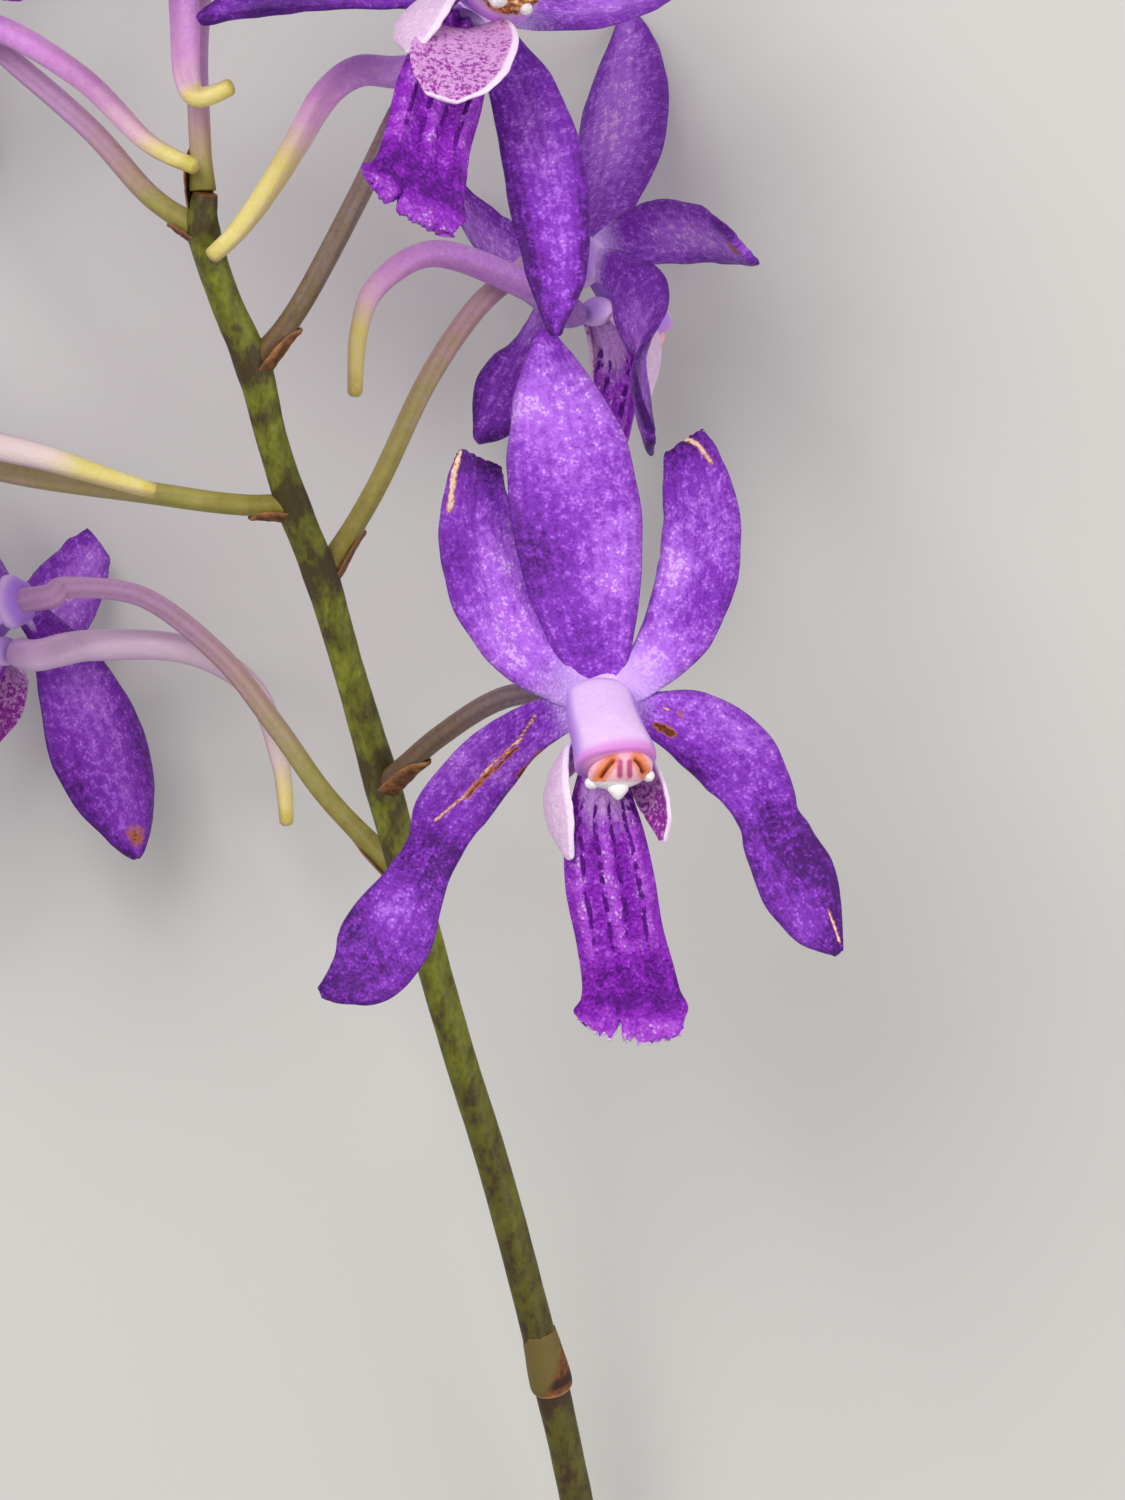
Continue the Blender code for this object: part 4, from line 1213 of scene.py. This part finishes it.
class ORCHID_OT_lips(bpy.types.Operator):
    """Adds the mid-lobe of every lip, with its keels and ragged end"""

    bl_idname = "orchid.lips"
    bl_label = "Lips"

    def execute(self, context):
        looks, shape = looks_of(context), context.scene.orchid_lip
        for index, (bloom, facts) in enumerate(BLOOMS.items()):
            seed = 5.1 * index + 1.0
            pale = 0.0 if bloom == "flower_2" else 1.0

            def relief(t, v):
                keels = shape.keel * math.cos(shape.keels * math.pi * v)
                keels *= math.sin(math.pi * min(1.0, t + 0.15))
                band = smooth(0.55, 0.68, t) * smooth(0.9, 0.8, t)
                bumps = 0.12 * wavy(seed, t * 60, v * 9) * band + 0.07 * wavy(seed + 2, t * 34, v * 7)
                flare = smooth(0.84, 0.95, t)
                crimp = 0.18 * wavy(seed + 4, t * 22, v * 5) * flare
                notch = shape.notch * max(0.0, 1 - abs(v - CLEFT[0]) / CLEFT[1]) * smooth(0.8, 1.0, t)
                teeth = shape.fringe * wavy(seed + 6, v * 13, 0.3) * smooth(0.9, 1.0, t)
                teeth += 0.3 * shape.fringe * wavy(seed + 7, v * 40, 0.6) * smooth(0.95, 1.0, t)
                ragged = abs(v) ** 6 * flare * (0.1 + 0.6 * wavy(seed + 8, t * 60, math.copysign(1, v)))
                waist = 0.25 * abs(v) ** 2 * smooth(0.06, 0.0, abs(t - 0.82))
                out = math.copysign(ragged - waist, v)
                rounding = 0.7 * abs(v) ** 3 * smooth(0.9, 1.0, t)
                return out, keels + bumps + crimp, teeth - notch - rounding

            def marks(t, v, side, point):
                crests = math.cos(shape.keels * math.pi * v)
                light = 0.5 + 0.16 * crests * smooth(0.7, 0.5, t) + 0.1 * wavy(seed + 3, t * 5, v * 3)
                light -= 0.34 * smooth(0.58, 0.7, t) * smooth(0.9, 0.8, t)
                light += 0.12 * smooth(0.86, 0.94, t)
                # Darker along the cleft in the end: painted shade in the cleft.
                light -= 0.4 * smooth(0.07, 0.02, abs(v - CLEFT[0])) * smooth(0.76, 0.84, t)
                middle = smooth(0.95, 0.5, abs(v + 0.1))
                throat = smooth(0.32, 0.1, t) * (0.45 + 0.55 * middle) + 0.36 * smooth(0.66, 0.3, t) * middle
                throat *= pale
                end = max(smooth(0.95, 0.995, t), smooth(0.92, 1.0, abs(v)) * smooth(0.84, 0.9, t))
                side_rim = 0.35 * smooth(0.94, 1.0, abs(v)) * smooth(0.3, 0.4, t)
                dashes = smooth(-0.2, -0.95, math.cos(5 * math.pi * v + 1.6 * wavy(seed, t * 7, 0.2)))
                dashes *= smooth(0.1, 0.24, t) * smooth(0.78, 0.5, t) * smooth(0.95, 0.75, abs(v)) * 0.9
                # Darker down one side of the lip near its base, carried with the dark dashes: painted shade.
                edge = 0.8 * smooth(-0.5, -0.8, v) * smooth(0.1, 0.16, t) * smooth(0.34, 0.22, t)
                return light, throat, max(end, side_rim) * (0.5 + 0.5 * pale), max(dashes, edge)

            lean, turn = facts["lip"]
            aim = Matrix.Translation(LIP_BASE) @ turned(turn, -lean) @ Matrix.Translation(-Vector(LIP_BASE))
            rows, columns = (150, 64) if bloom in NEAR else (80, 34)
            place = axes_of(facts) @ aim
            bm = blade(MID_LOBE, OUTWARD, rows, columns, shape.wall, 0.05, relief, marks, place)
            finish(f"{bloom}_mid_lobe", bm, lip_material(looks), f"{bloom}_lip")
            bm = new_mesh()

            def heel(way):
                return 1.0, (0.1, 0.2 + 0.5 * smooth(0, -1, way.z), 0.0, 0.0)

            lump(bm, Vector(LIP_BASE_RADII) * 0.98, axes_of(facts) @ Matrix.Translation(LIP_BASE), heel)
            finish(f"{bloom}_lip_heel", bm, column_material(looks), f"{bloom}_lip")
        return {"FINISHED"}


class ORCHID_OT_side_lobes(bpy.types.Operator):
    """Adds the two side lobes that stand beside each column"""

    bl_idname = "orchid.side_lobes"
    bl_label = "Side lobes"

    def execute(self, context):
        for index, (bloom, facts) in enumerate(BLOOMS.items()):
            rows, columns = (70, 30) if bloom in NEAR else (36, 16)
            forms, density = (WIDE_SIDE_LOBES, 0.35) if bloom == "flower_2" else (SIDE_LOBES, 1.0)
            for name, hand, form in (("left", 1, forms[0]), ("right", -1, forms[1])):
                form = [(x * hand, y, z, left, right, roll) for x, y, z, left, right, roll in form]
                seed = 4.7 * index + hand

                def relief(t, v):
                    lift = 0.05 * wavy(seed, t * 10, v * 3) + 0.25 * (1 - v * v) * math.sin(math.pi * t)
                    return 0.08 * wavy(seed, t * 12, v) * abs(v) ** 4, lift, 0.0

                def marks(t, v, side, point):
                    rim = max(smooth(0.72, 0.95, -v * hand), smooth(0.93, 1.0, t))
                    return float(side < 0), rim, density * smooth(0.2, 0.8, t), 0.0

                inward = Vector((-hand, 0, 0))
                bm = blade(form, inward, rows, columns, 0.45, -0.1, relief, marks, axes_of(facts))
                finish(f"{bloom}_{name}_side_lobe", bm, lobe_material(), f"{bloom}_lip")
        return {"FINISHED"}


class ORCHID_OT_columns(bpy.types.Operator):
    """Adds the columns, which flow out of the tepals' bases and widen round the anther cap"""

    bl_idname = "orchid.columns"
    bl_label = "Columns"

    def execute(self, context):
        def squared(reach):
            return math.copysign(abs(reach) ** 0.88, reach)

        def section(t, turn):
            return squared(math.cos(turn)), squared(math.sin(turn)) * 0.8

        def marks(t, turn, share):
            side = smooth(0.6, 1.0, abs(math.cos(turn))) * 0.8
            under = smooth(0.2, -0.7, math.sin(turn))
            pink = smooth(0.74, 0.92, t) * (0.55 + 0.45 * smooth(-0.2, 0.6, math.sin(turn)))
            return pink * 0.85, max(side, under), smooth(1.0, 0.7, share) * 0.6 * t, smooth(0.34, 0.05, t)

        material = column_material(looks_of(context))
        for bloom, facts in BLOOMS.items():
            bm = tube(COLUMN_SKIN, 48, 56, section, marks, axes_of(facts), start=1.3, end=0.55)
            finish(f"{bloom}_column_body", bm, material, f"{bloom}_column")
        return {"FINISHED"}


def cap_frame():
    """Middle and turn of the anther cap in a bloom's frame."""
    ahead = heading(COLUMN, 1.0)
    across = Vector((1, -ahead.x / ahead.y, 0)).normalized()
    turn = Matrix((across, ahead.cross(across), ahead)).transposed()
    return Vector(COLUMN[-1][:3]) + ahead * (GAP + CAP_RADII[2]) + Vector(CAP_NUDGE), turn


class ORCHID_OT_anther_caps(bpy.types.Operator):
    """Adds the anther caps with their two slits, ridges and beak"""

    bl_idname = "orchid.anther_caps"
    bl_label = "Anther caps"

    def execute(self, context):
        middle, turn = cap_frame()

        def knob(way):
            return 1.0 + 0.06 * wavy(way.x * 2, way.y * 2, way.z * 2), (0.0, 0.0, 1.0, 0.0)

        def beak(way):
            return 1 - 0.3 * smooth(0.0, -1.0, way.y) * abs(way.x), (0.0, 0.0, 1.0, 0.0)

        for bloom, facts in BLOOMS.items():
            withered = facts["tones"][2]

            def shape(way):
                own = turn @ Vector(a * b for a, b in zip(way, CAP_RADII))
                seen = smooth(-0.3, 0.2, own.z)
                flat = Vector(own[:2])
                off = min(off_line(flat, slit) for slit in CAP_SLITS)
                off += 0.05 * wavy(flat.x * 5, flat.y * 5, 0.4)
                slit = smooth(0.26, 0.02, off) * seen
                glow = smooth(0.8, 0.1, off) * seen
                ridge = smooth(0.75, 0.35, abs(flat.x - 0.22)) * smooth(0.8, 0.35, abs(flat.y - 0.1))
                ridge *= seen
                ridge *= 0.68 + 0.32 * math.cos((flat.x - 0.22) * 11 + 3)
                white = smooth(-0.5, -0.85, flat.y)
                reach = 1 - 0.14 * slit + 0.04 * ridge
                if withered:
                    reach *= 0.92 + 0.24 * wavy(way.x * 3.1, way.y * 3.1, way.z * 3.1 + 4)
                return reach, (slit, ridge, white * (1 - withered), glow)

            bm = new_mesh()
            place = axes_of(facts) @ Matrix.Translation(middle) @ turn.to_4x4()
            lump(bm, Vector(CAP_RADII) * 0.97, place, shape, (96, 68))
            for (spot, radii), form in ((CAP_BEAK, beak), (CAP_KNOBS[0], knob), (CAP_KNOBS[1], knob)):
                place = axes_of(facts) @ Matrix.Translation(middle + Vector(spot))
                lump(bm, Vector(radii), place, form, (28, 20))
            material = withered_material() if withered else anther_material()
            finish(f"{bloom}_cap", bm, material, f"{bloom}_anther_cap")
        return {"FINISHED"}


class ORCHID_OT_spurs(bpy.types.Operator):
    """Adds the long nectar spurs"""

    bl_idname = "orchid.spurs"
    bl_label = "Spurs"

    def execute(self, context):
        for index, (bloom, facts) in enumerate(BLOOMS.items()):
            axes = axes_of(facts)
            start = axes @ Vector(SPUR_START)
            lead = axes @ (Vector(SPUR_START) + Vector((0, -0.35, -1.5)))
            more = facts.get("girth", 1.0) - 1
            radii = [radius * (1 + more * (1 - i / 3)) for i, radius in enumerate(SPUR_RADII)]
            route = with_radii([tuple(start), tuple(lead), *facts["spur"]], radii)
            violet, yellow_from = facts["tones"][0], facts["tones"][3]

            def section(t, turn):
                return ring(turn, 1 + 0.04 * wavy(index * 3.3, t * 14, 0.0), 0.94)

            def marks(t, turn, share):
                yellow = smooth(yellow_from - 0.08, yellow_from + 0.12, t)
                yellow = 0.8 * yellow + 0.3 * smooth(0.9, 1.0, t)
                return t / yellow_from, violet, 0.5 + 0.5 * math.cos(turn * 2 + 5 * t), yellow

            bm = tube(route, 110, 28, section, marks, Matrix.Identity(4), start=0.4, end=0.6)
            finish(f"{bloom}_nectar_spur", bm, spur_material(), f"{bloom}_spur")
        return {"FINISHED"}


def stalk_route(facts):
    """Stations of a flower stalk, from inside the stem into the ovary behind the bloom."""
    axes = axes_of(facts)
    foot, out = foot_of(facts)
    back = axes @ Vector((0, 0, -BASE_RADII[2] + 0.25))
    lead = axes @ Vector((0, 0, -BASE_RADII[2] - GAP - 1.6))
    route = [tuple(foot + out * 0.5), *facts["stalk"], tuple(lead), tuple(back)]
    return with_radii(route, STALK_RADII)


class ORCHID_OT_stalks(bpy.types.Operator):
    """Adds the flower stalks, which run from inside the stem into the ovary behind each bloom"""

    bl_idname = "orchid.stalks"
    bl_label = "Flower stalks"

    def execute(self, context):
        for bloom, facts in BLOOMS.items():
            mauve, pink = facts["tones"][1], facts["tones"][4]

            def section(t, turn):
                ribs = 1 + 0.05 * math.cos(6 * turn + 9 * t) * smooth(0.1, 0.5, t)
                return ring(turn, ribs * (1 + 0.25 * smooth(0.12, 0.0, t)) * 0.96)

            def marks(t, turn, share):
                # The third value marks the grooves between the ribs, where the finish paints shade.
                return min(t * pink, 1.0), mauve, smooth(0.2, -1, math.cos(6 * turn + 9 * t)), 0.0

            bm = tube(stalk_route(facts), 90, 36, section, marks, Matrix.Identity(4), start=0.2, end=0.4)
            finish(f"{bloom}_flower_stalk", bm, stalk_material(), f"{bloom}_stalk")
        return {"FINISHED"}


class ORCHID_OT_stem(bpy.types.Operator):
    """Adds the stem, from its cut end to the dried stub above the last bloom"""

    bl_idname = "orchid.stem"
    bl_label = "Stem"

    def execute(self, context):
        spans = len(STEM) - 1
        nodes = [facts["node"] for facts in BLOOMS.values()] + [SHEATH_AT]

        def section(t, turn):
            knot = sum(math.exp(-((t * spans - node) / 0.22) ** 2) for node in nodes)
            reach = 0.97 * (1 + 0.035 * math.cos(5 * turn + 3 * t) + 0.05 * min(knot, 1.0))
            reach += 0.02 * wavy(t * 90, math.cos(turn) * 2, math.sin(turn) * 2)
            return ring(turn, reach)

        def marks(t, turn, share):
            knot = min(sum(math.exp(-((t * spans - node - 0.1) / 0.3) ** 2) for node in nodes), 1.0)
            cut = smooth(0.93, 0.8, share) if t < 0.01 else 0.0
            return knot, smooth(0.42, 0.2, t), cut, smooth(0.985, 1.0, t)

        bm = tube(STEM, 420, 40, section, marks, Matrix.Identity(4), start=0.0, end=0.7)
        finish("flower_stem", bm, stem_material(looks_of(context)), "stem")
        return {"FINISHED"}


class ORCHID_OT_scales(bpy.types.Operator):
    """Adds the bract under each flower stalk and the sheath round the lower stem"""

    bl_idname = "orchid.scales"
    bl_label = "Bracts and sheath"

    def execute(self, context):
        for index, (bloom, facts) in enumerate(BLOOMS.items()):
            route = stalk_route(facts)
            long = length_of(route)
            _, up_stem, radius = stem_at(facts["node"])
            stations = []
            for share, half in BRACT_OUTLINE:
                t = max(0.0, (radius * 0.4 + BRACT_LENGTH * share) / long)
                centre, ahead = Vector(along(route, t)[:3]), heading(route, t)
                under = (-up_stem + ahead * up_stem.dot(ahead)).normalized()
                if share < 0:
                    centre -= ahead * 0.9
                place = centre + under * (0.86 - 0.1 * max(share, 0.0))
                stations.append((*place, half * 0.95, half * 0.95, 0))

            def relief(t, v):
                lift = 0.06 * wavy(index * 2.2, t * 8, v * 3) - 0.12 * smooth(0.8, 1.0, t)
                return 0.0, lift, 0.3 * wavy(index * 1.7, v * 5, 0.3) * smooth(0.5, 0.9, t)

            def marks(t, v, side, at):
                ring = smooth(0.5, 0.1, t) * 0.6
                return 0.0, ring, smooth(0.75, 1.0, abs(v)) * 0.25 + 0.3 * smooth(0.8, 1.0, t), 0.0

            bm = blade(stations, -under, 40, 24, 0.26, 0.75, relief, marks, Matrix.Identity(4))
            finish(f"{bloom}_bract", bm, husk_material(), "stem")
        point, ahead, _ = stem_at(SHEATH_AT)
        stations = [
            (*(point + ahead * SHEATH_HEIGHT * share), radius)
            for share, radius in ((0.0, 1.16), (0.12, SHEATH_RADIUS), (0.45, 1.34), (0.8, 1.22), (1.0, 1.12))
        ]

        def section(t, turn):
            return ring(turn, 1 + 0.04 * math.cos(turn) + 0.03 * wavy(t * 5, math.cos(turn), math.sin(turn)))

        def marks(t, turn, share):
            edge = 0.5 + 0.35 * math.cos(turn - 0.6)
            husk = smooth(edge + 0.08, edge - 0.08, t)
            band = smooth(0.24, 0.3, t) * smooth(0.44, 0.36, t) * husk
            return 1.0 - husk, band, smooth(0.22, 0.04, t) * 0.8, 0.0

        bm = tube(stations, 50, 40, section, marks, Matrix.Identity(4), start=0.05, end=0.0)
        finish("stem_sheath", bm, husk_material(), "stem")
        return {"FINISHED"}


class ORCHID_OT_stage(bpy.types.Operator):
    """Adds the pale surface, the soft lights and the camera that looks straight down"""

    bl_idname = "orchid.stage"
    bl_label = "Surface, lights and camera"

    def execute(self, context):
        scene, looks = context.scene, context.scene.orchid_stage
        bm = bmesh.new()
        bmesh.ops.create_grid(bm, x_segments=1, y_segments=1, size=1.5)
        mesh = bpy.data.meshes.new("floor")
        bm.to_mesh(mesh)
        bm.free()
        made = bpy.data.materials.new("floor")
        made.use_nodes = True
        shader = made.node_tree.nodes["Principled BSDF"]
        shader.inputs["Base Color"].default_value = looks.floor
        shader.inputs["Roughness"].default_value = 0.8
        mesh.materials.append(made)
        floor = bpy.data.objects.new("floor", mesh)
        scene.collection.objects.link(floor)

        world = bpy.data.worlds.new("soft_room")
        world.use_nodes = True
        background = world.node_tree.nodes["Background"]
        background.inputs["Color"].default_value = (0.93, 0.95, 1.0, 1.0)
        background.inputs["Strength"].default_value = looks.fill
        scene.world = world
        for name, place, aim, size, power in (
            ("key", (-0.16, 0.20, 0.42), (0.0, 0.0, 0.03), 0.30, looks.key),
            ("side", (0.30, -0.05, 0.25), (0.0, 0.0, 0.03), 0.30, looks.key * 0.3),
        ):
            lamp = bpy.data.lights.new(name, "AREA")
            lamp.size = size
            lamp.energy = power
            light = bpy.data.objects.new(name, lamp)
            light.location = place
            light.rotation_euler = (Vector(aim) - Vector(place)).to_track_quat("-Z", "Y").to_euler()
            scene.collection.objects.link(light)

        lens = bpy.data.cameras.new("camera")
        lens.sensor_width = SENSOR
        lens.lens = LENS
        lens.clip_start = 0.01
        lens.clip_end = 10.0
        camera = bpy.data.objects.new("camera", lens)
        camera.location = (-MIDDLE[0] * MM, -MIDDLE[1] * MM, looks.camera_height)
        scene.collection.objects.link(camera)
        scene.camera = camera
        scene.view_settings.view_transform = "Standard"
        return {"FINISHED"}


OPERATORS = [
    ORCHID_OT_stem, ORCHID_OT_scales, ORCHID_OT_stalks, ORCHID_OT_tepals, ORCHID_OT_cushions,
    ORCHID_OT_lips, ORCHID_OT_side_lobes, ORCHID_OT_columns, ORCHID_OT_anther_caps, ORCHID_OT_spurs,
    ORCHID_OT_stage,
]


class ORCHID_PT_panel(bpy.types.Panel):
    """The spike's settings, and a button for each group of pieces"""

    bl_idname = "ORCHID_PT_panel"
    bl_label = "Orchid flower spike"
    bl_space_type = "VIEW_3D"
    bl_region_type = "UI"
    bl_category = "Orchid"

    def draw(self, context):
        for settings in (context.scene.orchid_tepals, context.scene.orchid_lip, context.scene.orchid_stage):
            box = self.layout.box()
            for name in settings.__annotations__:
                box.prop(settings, name)
        for operator in OPERATORS:
            self.layout.operator(operator.bl_idname)


CLASSES = [TepalLooks, LipShape, StageLooks, *OPERATORS, ORCHID_PT_panel]


def register():
    for made in CLASSES:
        bpy.utils.register_class(made)
    bpy.types.Scene.orchid_tepals = PointerProperty(type=TepalLooks)
    bpy.types.Scene.orchid_lip = PointerProperty(type=LipShape)
    bpy.types.Scene.orchid_stage = PointerProperty(type=StageLooks)


def unregister():
    del bpy.types.Scene.orchid_tepals, bpy.types.Scene.orchid_lip, bpy.types.Scene.orchid_stage
    for made in reversed(CLASSES):
        bpy.utils.unregister_class(made)


def main():
    register()
    for operator in OPERATORS:
        group_name, name = operator.bl_idname.split(".")
        getattr(getattr(bpy.ops, group_name), name)()


if __name__ == "__main__":
    main()
